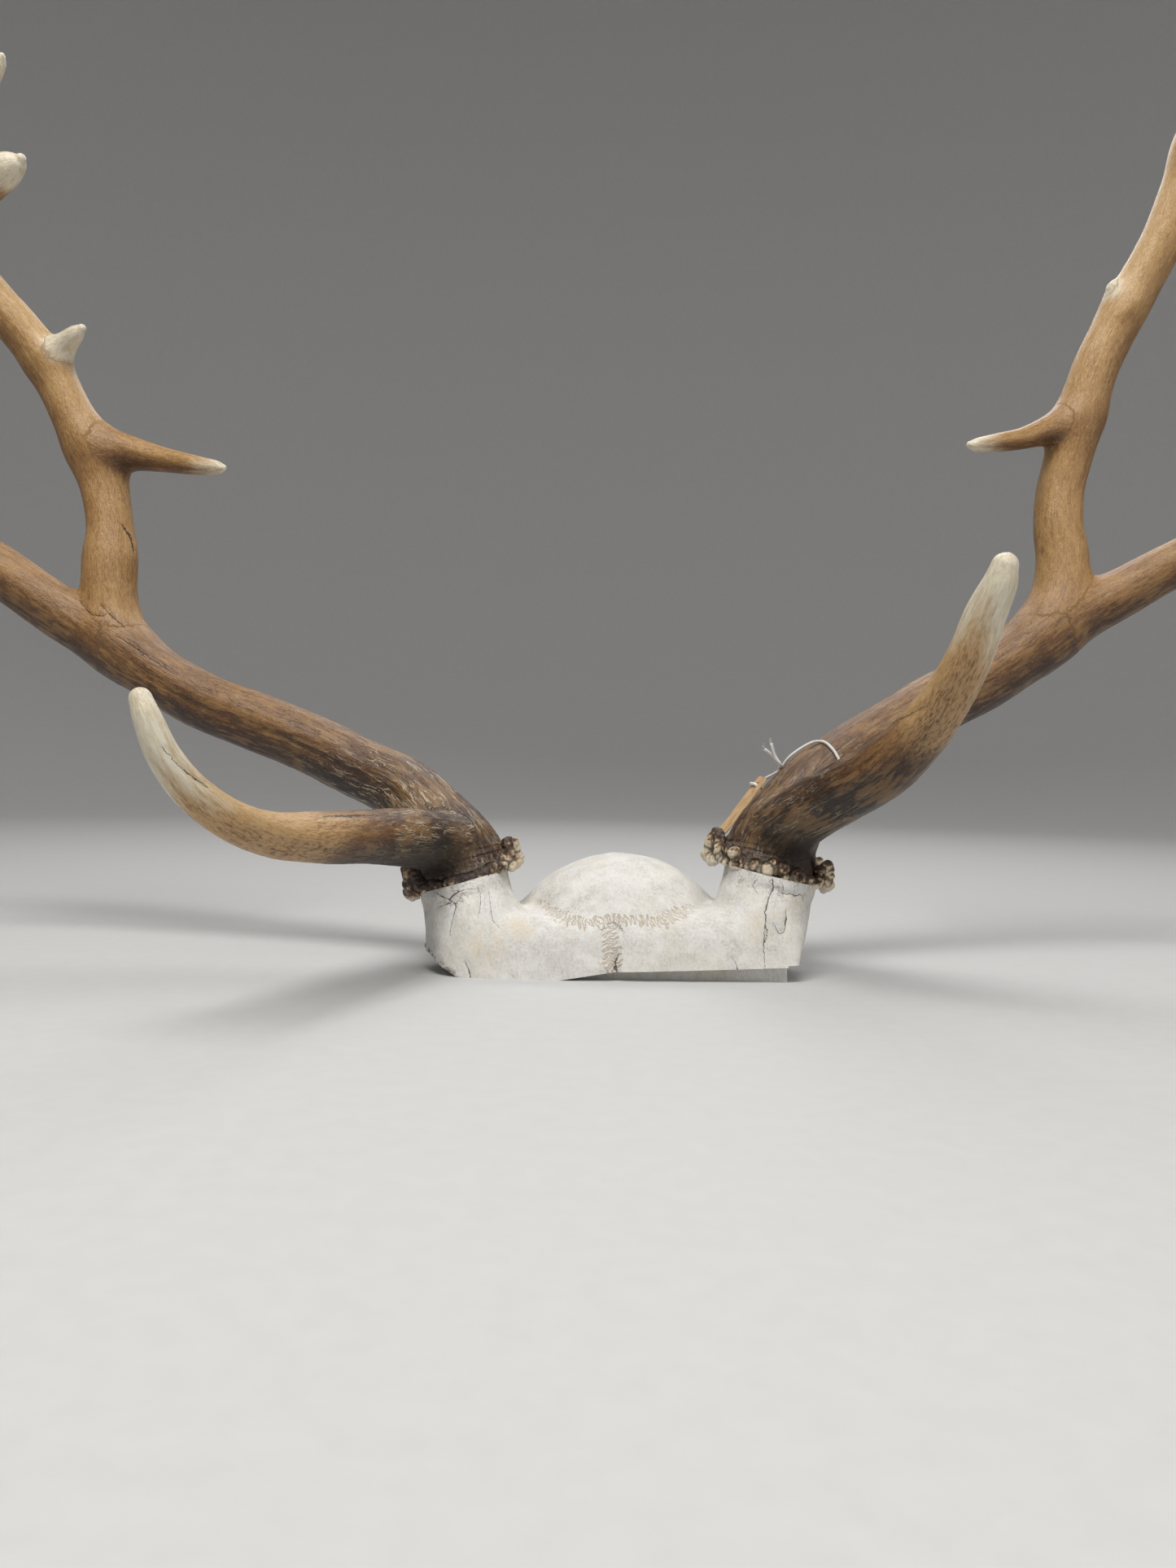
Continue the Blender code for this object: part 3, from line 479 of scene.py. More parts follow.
def skin(points, lines, burr):
    """Gap to the skin, outward direction, and what each branch and pearl has to do with it."""
    count = len(points)
    gaps = np.full((len(lines), count), FAR_OFF)
    outward, laid = np.zeros((2, len(lines), count, 3))
    along, angle = np.zeros((2, len(lines), count))
    radius = np.ones((len(lines), count))
    for row, line in enumerate(lines):
        low = line.places.min(0) - LINE_REACH
        high = line.places.max(0) + LINE_REACH
        near = np.flatnonzero(((points > low) & (points < high)).all(1))
        found = line.nearest(points[near])
        along[row, near], angle[row, near], radius[row, near], gaps[row, near] = found[:4]
        outward[row, near], laid[row, near] = found[4:]
    gap, share = soft_minimum(gaps, FORK_BLEND)
    direction = (share[:, :, None] * outward).sum(0)

    near = np.flatnonzero(np.abs(burr.local(points)[:, 2]) < BURR_REACH)
    away = points[near][None] - burr.centres[:, None]
    distance = np.linalg.norm(away, axis=2)
    pearl_gap, pearl_share = soft_minimum(distance - burr.radius[:, None], PEARL_BLEND)
    pearl_out = (pearl_share[:, :, None] * away / distance[:, :, None]).sum(0)
    both, weights = soft_minimum(np.vstack([gap[near], pearl_gap]), PEARL_BLEND)
    gap[near] = both
    direction[near] = weights[0][:, None] * direction[near] + weights[1][:, None] * pearl_out
    pearl, pale, dent, crevice = np.zeros((4, count))
    pearl[near] = weights[1]
    pale[near] = (pearl_share * burr.paleness[:, None]).sum(0)
    forward = (away * burr.axes[:, None]).sum(2)
    off_axis = np.sqrt(np.maximum(distance ** 2 - forward ** 2, 0))
    dimple = np.exp(-(off_axis / (DIMPLE * burr.radius[:, None])) ** 2) * (forward > 0)
    dent[near] = (pearl_share * (burr.hollow * burr.radius)[:, None] * dimple).sum(0)
    # painted shade in the gaps between pearls, and between the pearls and the stem
    crevice[near] = 1 - np.maximum(weights[0], weights[1] * pearl_share.max(0))
    direction /= np.maximum(np.linalg.norm(direction, axis=1), 1e-6)[:, None]
    return {"gap": gap, "out": direction, "share": share, "along": along, "angle": angle,
            "laid": laid, "radius": radius, "pearl": pearl, "pale": pale, "dent": dent,
            "crevice": crevice}


print("two gaps of 3 mm blend to", soft_minimum(np.full((2, 1), 3.0), FORK_BLEND)[0].round(2))

# %% [markdown]
# ## Character of each branch
# Beams are brown and rough, most of all near the burr. Going up they turn tan and smoother,
# and the tips, which the stag rubbed clean, are smooth ivory. Each branch has these numbers at
# its root and at its tip, and where along it the ivory begins and is complete.

# %% Roughness, tone and ivory of the branches
# name: (roughness root, tip), (tone root, tip), (ivory starts, complete) as shares of length
CHARACTER = {
    "beam": ((0.85, 0.45), (0.20, 0.40), (2.0, 3.0)),
    "outer_tine": ((0.50, 0.15), (0.44, 0.56), (0.80, 1.00)),
    "upper_beam": ((0.36, 0.20), (0.62, 0.80), (0.92, 1.00)),
    "inner_tine": ((0.30, 0.08), (0.50, 0.64), (0.55, 1.25)),
    "web": ((0.25, 0.15), (0.62, 0.60), (2.0, 3.0)),
    "bud": ((0.20, 0.05), (0.74, 0.90), (0.05, 0.50)),
    "nub": ((0.20, 0.05), (0.74, 0.90), (0.40, 0.80)),
    "flat_tine": ((0.25, 0.08), (0.74, 0.84), (0.55, 0.94)),
    "middle_tine": ((0.25, 0.08), (0.72, 0.82), (0.55, 0.94)),
    "brow_tine": ((0.95, 0.10), (0.15, 0.78), (0.71, 1.02)),
}
print("branches with a character", len(CHARACTER))

# %% [markdown]
# ## Bark-like relief
# Blood vessels ran along the growing antler and left furrows, with small warts between them.
# Displacement in a material would bend the light only, so the mesh itself is raised. The same
# pattern is kept for the colour, because stain gathers in the furrows.

# %% Furrows, warts and grains
# The right brow tine stays dark further along than the left, partly as its own tone and partly as
# painted shade.
BROW_DARK = {-1: 0.15, 1: 0.26}    # the share of a brow tine that is as dark as its root
OTHERS_DARK = 0.04    # and of every other branch
TONE_RISE = 0.60    # the share of a branch over which it turns to its tip's tone
SEED_STEP = 20    # between the noise seeds of one branch and the next
BRANCH_SHIFT = 90    # mm along between the patterns of one branch and the next
RIDGE = 1.9    # a beam isn't round: a long soft ridge runs along its upper front
RIDGE_SIDE = np.array([0.0, -0.80, 0.60])


def relief(line, along, angle, radius, seed):
    """Height of the bark-like relief in mm, and its pattern from about -1 to 1."""
    (root_depth, tip_depth), _, (ivory_from, ivory_full) = CHARACTER[line.name]
    share = along / line.length
    depth = root_depth + (tip_depth - root_depth) * np.clip(share, 0, 1)
    depth *= 1 - 0.85 * ease(share, ivory_from, ivory_full)
    laid = np.column_stack([radius * np.cos(angle), radius * np.sin(angle), along])
    for axis in (0, 1):
        laid[:, axis] += 1.8 * hills(laid, (9, 9, 30), seed + axis)
    furrow = hills(laid, (2.7, 2.7, 17), seed + 2)
    grain = hills(laid, (1.5, 1.5, 5), seed + 3)
    wart = np.clip(hills(laid, (2.4, 2.4, 6), seed + 4) - 0.15, 0, 1)
    lump = hills(laid, (12, 12, 45), seed + 5)
    pattern = 1.3 * furrow + 1.0 * grain + 1.2 * wart
    return depth * (0.55 * furrow + 0.42 * grain + 0.6 * wart) + 0.6 * lump, pattern


def granules(points, seed):
    """Small round grains: 1 in the middle of each, down to 0 between them."""
    cell = np.floor(points / GRANULE).astype(np.int64)
    least = np.full(len(points), 9.0)
    for neighbour in itertools.product((-1, 0, 1), repeat=3):
        spot = cell + neighbour
        jitter = [0.5 + 0.6 * lattice_noise(*(spot.T + 0.31 * turn), seed + turn)
                  for turn in (1, 2, 3)]
        away = points / GRANULE - spot - np.stack(jitter, axis=1)
        least = np.minimum(least, (away ** 2).sum(1))
    return np.clip(1 - 1.6 * least, 0, 1)


# %% [markdown]
# ## All that a spot on an antler is
# Where two branches meet, each gives its share of relief and colour, so a fork has no seam.
# The pearls of the burr are lumpy, and the bark round them has small round grains.

# %% Relief, tone and ivory anywhere on an antler
def antler_values(points, lines, burr, seed):
    """Everything about the surface at some points: relief and what the materials read."""
    found = skin(points, lines, burr)
    height, pattern, tone, ivory, grains = np.zeros((5, len(points)))
    grow = np.zeros((len(points), 3))
    strongest = found["share"].argmax(0)
    for row, line in enumerate(lines):
        near = np.flatnonzero(found["share"][row] > 0.02)
        if not len(near):
            continue
        share = found["share"][row, near]
        along, angle, radius = (found[key][row, near] for key in ("along", "angle", "radius"))
        high, shape = relief(line, along, angle, radius, seed + SEED_STEP * row)
        _, (root_tone, tip_tone), (ivory_from, ivory_full) = CHARACTER[line.name]
        part = along / line.length + 0.12 * lattice_noise(
            np.cos(angle), np.sin(angle), along / 40, seed + SEED_STEP * row + 6)
        if line.name == "beam":
            high += RIDGE * ease(found["out"][near] @ RIDGE_SIDE, 0.72, 1.0)
        height[near] += share * high
        pattern[near] += share * shape
        dark_to = BROW_DARK[burr.side] if line.name == "brow_tine" else OTHERS_DARK
        rise = ease(part, dark_to, dark_to + TONE_RISE)
        tone[near] += share * (root_tone + (tip_tone - root_tone) * rise)
        ivory[near] += share * ease(part, ivory_from, ivory_full)
        mine = strongest[near] == row
        grow[near[mine]] = (found["laid"][row, near[mine]] + (0, 0, BRANCH_SHIFT * row)) * MM
    rough = hills(points, 1.6, seed + 7)
    pearl = found["pearl"]
    level = burr.local(points)[:, 2]
    crown = np.flatnonzero(level < GRAINS_TO)
    fade = 1 - ease(level[crown], GRAINS_FULL, GRAINS_TO)
    grains[crown] = granules(points[crown], seed) * fade
    lumpy = hills(points, (3.4, 3.4, 3.0), seed + 8)
    beaded = 1.5 * lumpy + 0.7 * rough + 0.35 * grains - 0.75 * found["dent"]
    height = (height + 0.25 * grains) * (1 - pearl) + pearl * beaded
    gold = found["share"][[line.name == "brow_tine" for line in lines]].sum(0)
    gold = gold * ease(tone, 0.42, 0.60)
    found.update(height=height, pattern=pattern, tone=tone, ivory=ivory, grow=grow, rough=rough,
                 grains=grains, gold=gold)
    return found


# %% [markdown]
# ## Cracks and seams
# Dry bone cracks along its grain, and a skull has wavy seams. These are far finer than the
# mesh, so each is drawn as a line, and the mesh keeps only how far to the side of it a vertex
# lies. The material turns that smooth number back into a thin sharp line.

# %% Lines drawn on an upright sheet through the burrs: (x, z, width) in millimetres
EYE = Vector((-13, -560, 94))    # where the lines are seen from
LEFT_CRACKS = [
    [(-136.8, 70.9, 0.3), (-126.4, 70.9, 0.8), (-114.8, 71.1, 0.3)],
    [(-233, 157.1, 0.5), (-225.9, 152.2, 0.6), (-217.5, 146.3, 0.5), (-211.8, 142.7, 0.3)],
    [(-251.5, 173.9, 0.3), (-247, 168.9, 0.5), (-241.7, 167.9, 0.4)],
    [(-240.8, 171.5, 0.3), (-236.3, 166.7, 0.6), (-232.6, 163.6, 0.3)],
    [(-230.6, 209.2, 0.5), (-227.7, 204.3, 0.6), (-226.9, 199.5, 0.4)],
    [(-212.8, 102.6, 0.2), (-207, 95.9, 0.2), (-199.6, 89.6, 0.25), (-195.5, 86.7, 0.2)],
]
RIGHT_CRACKS = [
    [(80.5, 80, 0.15), (91, 86, 0.35), (103.3, 91.1, 0.3), (118, 100.5, 0.35),
     (132.7, 110.2, 0.3), (145.8, 117.2, 0.15)],
]
CAP_CRACKS = [
    [(-69, 37.6, 0.3), (-71.5, 37.2, 0.4), (-75.5, 34.2, 0.6), (-79.5, 30.4, 0.7),
     (-77, 27.6, 0.5), (-78.3, 22.2, 0.3), (-79.8, 15, 0.2)],
    [(-75.5, 34.2, 0.3), (-71.5, 35.2, 0.3), (-67, 35.6, 0.1)],
    [(-79.5, 30.4, 0.4), (-83, 31.8, 0.4), (-86.5, 35, 0.3)], [(-79, 29, 0.3), (-84, 27, 0.2)],
    [(-60.9, 32.2, 0.1), (-60.3, 24.4, 0.2), (-59.2, 19.8, 0.2), (-57, 17.4, 0.1)],
    [(-66, 36, 0.1), (-65, 30, 0.2), (-66, 24, 0.1)],
    [(72.7, 40.7, 0.6), (73.8, 35.7, 0.5), (74.2, 32.6, 0.6), (72.6, 29.5, 0.4),
     (71.4, 25.6, 0.6), (70.5, 22.2, 0.6), (70.5, 17.9, 0.5), (70.0, 13.6, 0.3),
     (69.6, 8.2, 0.3), (69.5, 2.8, 0.3), (69.8, -3.5, 0.2), (69.7, -7, 0.2)],
    [(70.8, 17, 0.2), (71.2, 12, 0.3), (70.6, 8, 0.2)],
    [(80.2, 20.0, 0.4), (80.1, 16.9, 0.8), (79.7, 14.2, 0.4), (78.9, 11.9, 0.4),
     (76.6, 11.6, 0.3), (74.8, 15, 0.2)],
    [(79.2, 30.4, 0.2), (82.7, 30.1, 0.3), (85.2, 29.2, 0.4), (86.5, 30.0, 0.3),
     (87.7, 28.4, 0.2)],
    [(72.9, 36.5, 0.3), (76.2, 37, 0.3), (78.4, 34.6, 0.3), (79, 32, 0.2)],
    [(66, 37.6, 0.2), (64.4, 34.8, 0.3), (65.6, 32.6, 0.2)],
    [(-72.4, -1.0, 0.2), (-71.3, -4.1, 0.5), (-70.6, -9, 0.7)],
    [(55.4, -1.8, 0.2), (56.6, -4.6, 0.5), (57, -8, 0.5)],
    [(-0.6, 0.5, 0.5), (-1.4, -2.4, 1.4), (-0.8, -6.4, 2.0), (-0.6, -9, 2.0)],
]
# Seams between the skull's plates: here the last number is how far the line swings aside.
CORONAL_SEAM = [(-41, 30.6, 0.5), (-35.1, 27.6, 1.3), (-31.7, 24.4, 1.6), (-26.7, 21.6, 2.2),
                (-20.9, 19.2, 2.2), (-14.4, 17.6, 1.9), (-8.1, 18.5, 2.0), (-2.7, 19.2, 2.2),
                (3.5, 19.1, 2.0), (10.1, 19.0, 1.9), (15.1, 18.1, 1.8), (20.5, 18.0, 2.4),
                (26.0, 20.6, 2.4), (31.4, 23.0, 1.8), (36.1, 25.5, 1.0), (42, 28.1, 0.4)]
FRONTAL_SEAM = [(-2.7, 17.2, 2.2), (-3.2, 13.7, 2.6), (-2.9, 7.9, 3.0), (-3.0, 2.1, 3.5),
                (-3.1, -2.0, 3.7), (-3.1, -4.6, 2.4)]
print("drawn cracks", len(LEFT_CRACKS + RIGHT_CRACKS), "on bark", len(CAP_CRACKS), "on bone")

# %% [markdown]
# ## From the drawing onto the pieces
# The lines were drawn as they look from the front, and the pieces are round. A ray from the
# eye through each spot of a line finds where it lies on the piece, as if it were projected
# there with a lamp. Unwrapping the mesh and painting would do it too, but needs an image.

# %% Lay drawn lines on a piece
NEAR_LINE = 1.5
FAR_FROM_LINE = 3.2
MARK_LIMIT = 9.0


def lands_on(piece, x, z):
    """Where a spot of the sheet lies on a piece, seen from the eye, or None."""
    towards = Vector((x, 0, z)) - EYE
    hit, place, _, _ = piece.ray_cast(EYE * MM, towards.normalized())
    return place / MM if hit else None


def traced(piece, drawn):
    """Drawn lines laid on a piece, as close rows of (x, y, z, width)."""
    bpy.context.view_layer.update()
    laid = []
    for path in drawn:
        curve, _ = even_curve([(x, 0, z, width) for x, z, width in path], 0.4)
        rows = [(lands_on(piece, x, z), width) for x, _, z, width in curve]
        laid.append(np.array([(*place, width) for place, width in rows if place]))
    return laid


def line_marks(points, laid, near_limit=NEAR_LINE, far_limit=FAR_FROM_LINE):
    """Distance to the side of the nearest line, distance along it, its width, and nearness."""
    across = np.full(len(points), MARK_LIMIT)
    along, width, near = (np.zeros(len(points)) for _ in range(3))
    closest = np.full(len(points), FAR_OFF)
    for rows in laid:
        places = rows[:, :3]
        travelled = distances_along(places)
        forward = np.gradient(places, axis=0)
        forward /= np.linalg.norm(forward[:, [0, 2]], axis=1)[:, None]
        inside = ((points > places.min(0) - far_limit) & (points < places.max(0) + far_limit))
        spots = np.flatnonzero(inside.all(1))
        for some in np.array_split(spots, len(spots) // ROWS_AT_ONCE + 1):
            away = points[some][:, None] - places[None]
            distance = (away ** 2).sum(2)
            step = distance.argmin(1)
            gap = np.sqrt(distance[np.arange(len(some)), step])
            away = away[np.arange(len(some)), step]
            side = forward[step, 0] * away[:, 2] - forward[step, 2] * away[:, 0]
            better = gap < closest[some]
            chosen = some[better]
            closest[chosen] = gap[better]
            across[chosen] = side[better]
            along[chosen] = travelled[step[better]]
            width[chosen] = rows[step[better], 3]
            near[chosen] = 1 - ease(gap[better], near_limit, far_limit)
    return np.clip(across, -MARK_LIMIT, MARK_LIMIT), along, width, near


# %% [markdown]
# ## From rough tubes to an antler
# By hand one would draw curves, give them a round bevel and convert them to meshes. That is
# done here too, then Remesh melts the tubes into one closed skin, every vertex is slid onto the
# shared skin and raised by its relief, and Decimate thins the flat places.

# %% Tubes, remesh and relief
VOXEL = 0.92 * MM
CROWN = (-3.0, 13.0)    # heights above the seat between which the mesh is finer
TRIANGLE_LIMIT = 196000
SEAT_REACH = {-1: 24.6, 1: 25.6}    # the part of a burr's foot that rests on its pedicle
WELD = 0.005 * MM    # a tube's end caps are welded on within this distance
CUT_CARE = 0.0005 * MM    # vertices nearer than this to a cut count as lying on it
SLIDES = 3    # times that the vertices are slid towards the shared skin
SLIDE_LIMIT = 5    # gaps in mm above which a vertex stays where it is
CRACK_DEPTH, CRACK_WIDTH = 0.4, 0.9


def bevelled_tube(places, swell, radius, roundness):
    """A bevelled curve through places in metres, turned into a closed mesh."""
    deselect_all()
    bpy.ops.curve.primitive_bezier_curve_add()
    tube = bpy.context.object
    curve = tube.data
    curve.bevel_depth = radius
    curve.bevel_resolution = roundness
    curve.use_fill_caps = True
    curve.resolution_u = 1
    curve.splines.clear()
    spline = curve.splines.new("POLY")
    spline.points.add(len(places) - 1)
    for point, place, factor in zip(spline.points, places, swell):
        point.co = (*place, 1.0)
        point.radius = factor
    bpy.ops.object.convert(target="MESH")
    edit_all(tube, bpy.ops.mesh.remove_doubles, threshold=WELD)
    return tube


def rough_tube(line):
    """A tube along every second step of a growth line."""
    return bevelled_tube(line.places[::2] * MM, line.radius[::2], MM, 5)


def settled():
    """The shape just added, with its place and scale made part of its mesh."""
    bpy.ops.object.transform_apply(location=True, rotation=False, scale=True)
    return bpy.context.object


def rough_pearl(centre, radius):
    """A small ball where a pearl or the round end of a tine will be."""
    bpy.ops.mesh.primitive_ico_sphere_add(subdivisions=2, radius=radius * MM,
                                          location=Vector(centre) * MM)
    return settled()


# %% [markdown]
# ## Cuts, and triangles where they count
# The foot of a burr is flat where it left its pedicle. Bisect cuts it and closes the cut. The
# pearls need finer triangles than the beams, so only the crown is subdivided.

# %% Cuts, refining and thinning
def slice_off(piece, place, normal):
    """Cut a piece with a plane, drop what lies on the normal's side, and close the cut."""
    edit_all(piece, bpy.ops.mesh.bisect, plane_co=place, plane_no=normal, use_fill=True,
             clear_outer=True, threshold=CUT_CARE)


def thin_to_limit(piece):
    """Thin a mesh that has more triangles than the limit."""
    triangles = count_triangles(piece)
    if triangles > TRIANGLE_LIMIT:
        apply_modifier(piece, "DECIMATE", ratio=TRIANGLE_LIMIT / triangles)


def refine_crown(piece, burr):
    """Halve the faces round the burr, where the smallest forms are."""
    level = burr.local(read_points(piece))[:, 2]
    crown = (level > CROWN[0]) & (level < CROWN[1])
    shape = bmesh.new()
    shape.from_mesh(piece.data)
    shape.verts.ensure_lookup_table()
    edges = [edge for edge in shape.edges
             if crown[edge.verts[0].index] and crown[edge.verts[1].index]]
    bmesh.ops.subdivide_edges(shape, edges=edges, cuts=1, use_grid_fill=True)
    shape.to_mesh(piece.data)
    shape.free()


def rest_on_seat(points, side):
    """Lift the middle of a burr's foot onto its seat; pearls outside it may hang lower."""
    burr = burrs[side]
    local = burr.local(points)
    under = (local[:, 2] < 0) & (np.hypot(local[:, 0], local[:, 1]) < SEAT_REACH[side])
    local[under, 2] = 0
    return local @ burr.turn.T + burr.middle


# %% [markdown]
# ## Colour and painted shade that belong to places
# The bark is nearly black just above the burr, painted shadow darkens it under the brow tine,
# pale flecks stay near it, and the undersides carry painted shade. Each of these is a number
# on the vertices, because the material can read it there without any image.

# %% What the antler's material reads
# Just above the burr the bark is dark, and painted shadow under the brow tine darkens it further;
# where round the burr that painted shadow is centred, and its spread, is given next.
THROAT_START, THROAT_FADE = (1, 6), (14, 30)    # heights above the seat where bark is darkest
UNDER_BROW = (20, 34)    # degrees round the burr where the throat is blackest, and its spread
FLECK_FADE = (45, 125)    # distances from the burr over which the pale flecks die out


def store_growth(antler, lines, side, laid_cracks, seed):
    """Store what the antler's material reads: tones, painted shade, marks, and its growth
    coordinates.
    """
    burr = burrs[side]
    points, normals = read_points(antler), read_normals(antler)
    found = antler_values(points, lines, burr, seed)
    pearl, ivory, rough = (found[key] for key in ("pearl", "ivory", "rough"))
    across, _, width, near = line_marks(points, laid_cracks)
    local = burr.local(points)
    level = local[:, 2]
    turn = np.degrees(np.arctan2(side * local[:, 0], -local[:, 1]))
    under_brow_shadow = np.exp(-((turn - UNDER_BROW[0]) / UNDER_BROW[1]) ** 2)
    throat = (ease(level, *THROAT_START) * (1 - ease(level, *THROAT_FADE))
              * (0.34 + 0.64 * under_brow_shadow))
    from_burr = np.linalg.norm(points - burr.middle, axis=1)
    facing_up = ease((normals @ burr.turn)[:, 2], -0.5, 0.8)
    bead_tone = (found["pale"] + 0.20 + 0.08 * side - 0.75 * facing_up + 0.9 * rough
                 + 0.25 * found["grains"] - 0.5 * found["dent"] / 2)
    store(antler, grow=found["grow"], tone=found["tone"], ivory=ivory,
          pattern=0.5 + 0.5 * found["pattern"], gold=found["gold"],
          # painted shade on the undersides; the dark bark above the burr with painted shadow
          # under the brow tine; and painted shade in the gaps between the pearls
          shadow=ease(-normals[:, 2], -0.25, 0.75) * (1 - ivory),
          throat=throat * (1 - 0.7 * pearl),
          fleck=(0.75 - 0.25 * side) * (1 - ease(from_burr, *FLECK_FADE)),
          pearl=pearl, pale=np.clip(bead_tone, 0, 1), crevice=found["crevice"],
          foot=1 - ease(level + 0.9 * rough, *FOOT_BONE[side]),
          crack=across, crack_width=width * near)


# %% [markdown]
# ## The whole antler
# Everything comes together here: tubes and balls, one melted skin, three slides onto the exact
# skin, and then the relief. Both sides take the same steps with their own lines and seed.

# %% Grow both antlers
def grow_antler(name, shapes, side, cracks, seed):
    """Build one antler, and store on it what its material reads."""
    lines = [GrowthLine(line_name, points) for line_name, points in shapes.items()]
    burr = burrs[side]
    antler, *branches = [rough_tube(line) for line in lines]
    seat, upwards = burr_seat(side)
    slice_off(antler, seat * MM, -upwards)
    pearls = [rough_pearl(*pearl) for pearl in zip(burr.centres, burr.radius)]
    tips = [rough_pearl(line.places[-1], line.radius[-1]) for line in lines]
    choose(antler, *branches, *pearls, *tips)
    bpy.ops.object.join()
    apply_modifier(antler, "REMESH", mode="VOXEL", voxel_size=VOXEL)
    refine_crown(antler, burr)
    points = read_points(antler)
    on_stem = ease(burr.local(points)[:, 2], -0.6, 0.6)
    for _ in range(SLIDES):
        found = skin(points, lines, burr)
        move = np.where(np.abs(found["gap"]) < SLIDE_LIMIT, found["gap"], 0.0)
        points -= found["out"] * (move * np.maximum(on_stem, found["pearl"]))[:, None]
    write_points(antler, points)
    laid_cracks = traced(antler, cracks)
    found = antler_values(points, lines, burr, seed)
    lift = found["height"] * np.maximum(on_stem, found["pearl"])
    across, _, _, near = line_marks(points, laid_cracks)
    lift -= CRACK_DEPTH * near * np.exp(-(across / CRACK_WIDTH) ** 2)
    points = rest_on_seat(points + found["out"] * lift[:, None], side)
    write_points(antler, points)
    thin_to_limit(antler)
    store_growth(antler, lines, side, laid_cracks, seed)
    stand_on_cut(antler, name)
    return antler


left_antler = grow_antler("left_antler", LEFT_LINES, -1, LEFT_CRACKS, 100)
right_antler = grow_antler("right_antler", RIGHT_LINES, 1, RIGHT_CRACKS, 500)

# %% [markdown]
# ## The skull cap
# The cap is the roof of the skull: a dome behind, the brow in front, a temple that fills in
# between, and two stalks, the pedicles, that carried the antlers. Balls, a bevelled block and
# two tubes are melted together and softened, and then sawn, as the real skull was.

# %% Shapes of the cap in millimetres
DOME = ((0, 12, 0), (55, 56, 50))
TEMPLE = ((0, 6, -4), (79, 48, 30))
BROW_LOW = Vector((-86.5, -41.0, -18.0))
BROW_HIGH = Vector((86.5, 30.0, 26.5))
BROW_ROUNDING = 11.0
BROW_TAPER = 0.22
BROW_BULGE = 4.5
BROW_LEAN = 6.0
PEDICLES = [
    [(-61, -17, -18, 25.0), (-63, -17, 4, 25.0), (-66, -15, 17, 24.0), (-69.8, -8, 29, 21.8),
     (-72, -0.5, 39.5, 20.8), (-74, 1, 54, 20.8)],
    [(61, -17, -18, 25.0), (63, -17, 4, 25.0), (65.5, -15, 17, 24.0), (69.2, -8, 29, 22.6),
     (72, -0.5, 39.5, 21.4), (74, 1, 54, 21.4)],
]
CAP_VOXELS = (1.3, 0.95, 0.9)    # the cap is melted together three times, finer each time
SOFTENING = 41    # smoothing steps that flow the parts of the cap into each other
HOLLOW = ((0, 14, 0), (34, 37, 30))
CHIP_MIDDLE = Vector((-81.7, 0, 6.2))
CHIP_SLOPE = math.radians(33)
FLANK_TOP = Vector((93.0, 0, 34))
FLANK_LEAN = math.radians(17)
FLANK_TURN = math.radians(-6)
STEP_TOP = 2.2
STEP_OUTLINE = [(-42, -3), (-6, 1.9), (2, STEP_TOP), (110, STEP_TOP), (110, -30), (-42, -30)]
STEP_BACK = -38.0
FOOT_END = ((74.0, -200, -200), (200, 0, 3))    # the corners of a block that is cut away
CLEARANCE = 0.05    # between a burr and its pedicle
LIP = 3.0    # how far a pedicle's top swells in front to meet the pearls
# Spots on the same upright sheet as the cracks: (x, z, radius)
STAINS = [(72, 14, 11), (85, 23, 7), (66, 33, 7), (-47, 17, 8), (-62, 8, 9)]
CRAZED = [(-76, 34, 10), (74, 35, 11), (86, 32, 7), (64, 37, 7)]
KNOB = (-5.6, -3.6, 2.4)
print("pedicles", len(PEDICLES), "stains", len(STAINS), "crazed spots", len(CRAZED))

# %% [markdown]
# ## Simple shapes and the surface of bone
# Bone is smooth where muscle lay on it, fibrous on the pedicles and spongy where it broke. A
# few ready-made shapes give the cap's form, and noise of the right width gives each surface.

# %% Balls, blocks and the surface of bone
def add_ball(middle, half):
    """An ellipsoid."""
    bpy.ops.mesh.primitive_uv_sphere_add(segments=96, ring_count=48, radius=1.0,
                                         location=Vector(middle) * MM, scale=Vector(half) * MM)
    return settled()


def add_block(low, high):
    """A block between two corners."""
    low, high = Vector(low), Vector(high)
    bpy.ops.mesh.primitive_cube_add(size=1.0, location=(low + high) / 2 * MM,
                                    scale=(high - low) * MM)
    return settled()


def add_brow():
    """The frontal bone: a bevelled block, bulged in front and narrower behind."""
    brow = add_block(BROW_LOW, BROW_HIGH)
    edit_all(brow, bpy.ops.mesh.bevel, offset=BROW_ROUNDING * MM, segments=5, affect="EDGES")
    edit_all(brow, bpy.ops.mesh.subdivide, number_cuts=6)
    points = read_points(brow)
    back = (points[:, 1] - BROW_LOW.y) / (BROW_HIGH.y - BROW_LOW.y)
    across = points[:, 0] / BROW_HIGH.x
    points[:, 0] *= 1 - BROW_TAPER * back
    points[:, 1] -= BROW_BULGE * (1 - across ** 2) * (1 - back)
    points[:, 1] += BROW_LEAN * (1 - back) * points[:, 2] / BROW_HIGH.z
    write_points(brow, points)
    return brow


def carve(piece, tool):
    """Take a tool's shape out of a piece, and throw the tool away."""
    tool.hide_render = True
    apply_modifier(piece, "BOOLEAN", operation="DIFFERENCE", solver="EXACT", object=tool)
    bpy.data.objects.remove(tool, do_unlink=True)


def spots_share(points, spots):
    """1 in the middle of each spot, fading to 0 outside it."""
    share = np.zeros(len(points))
    for middle, radius in spots:
        distance = np.linalg.norm(points - np.array(middle), axis=1)
        share = np.maximum(share, 1 - ease(distance, 0.3 * radius, 1.4 * radius))
    return share


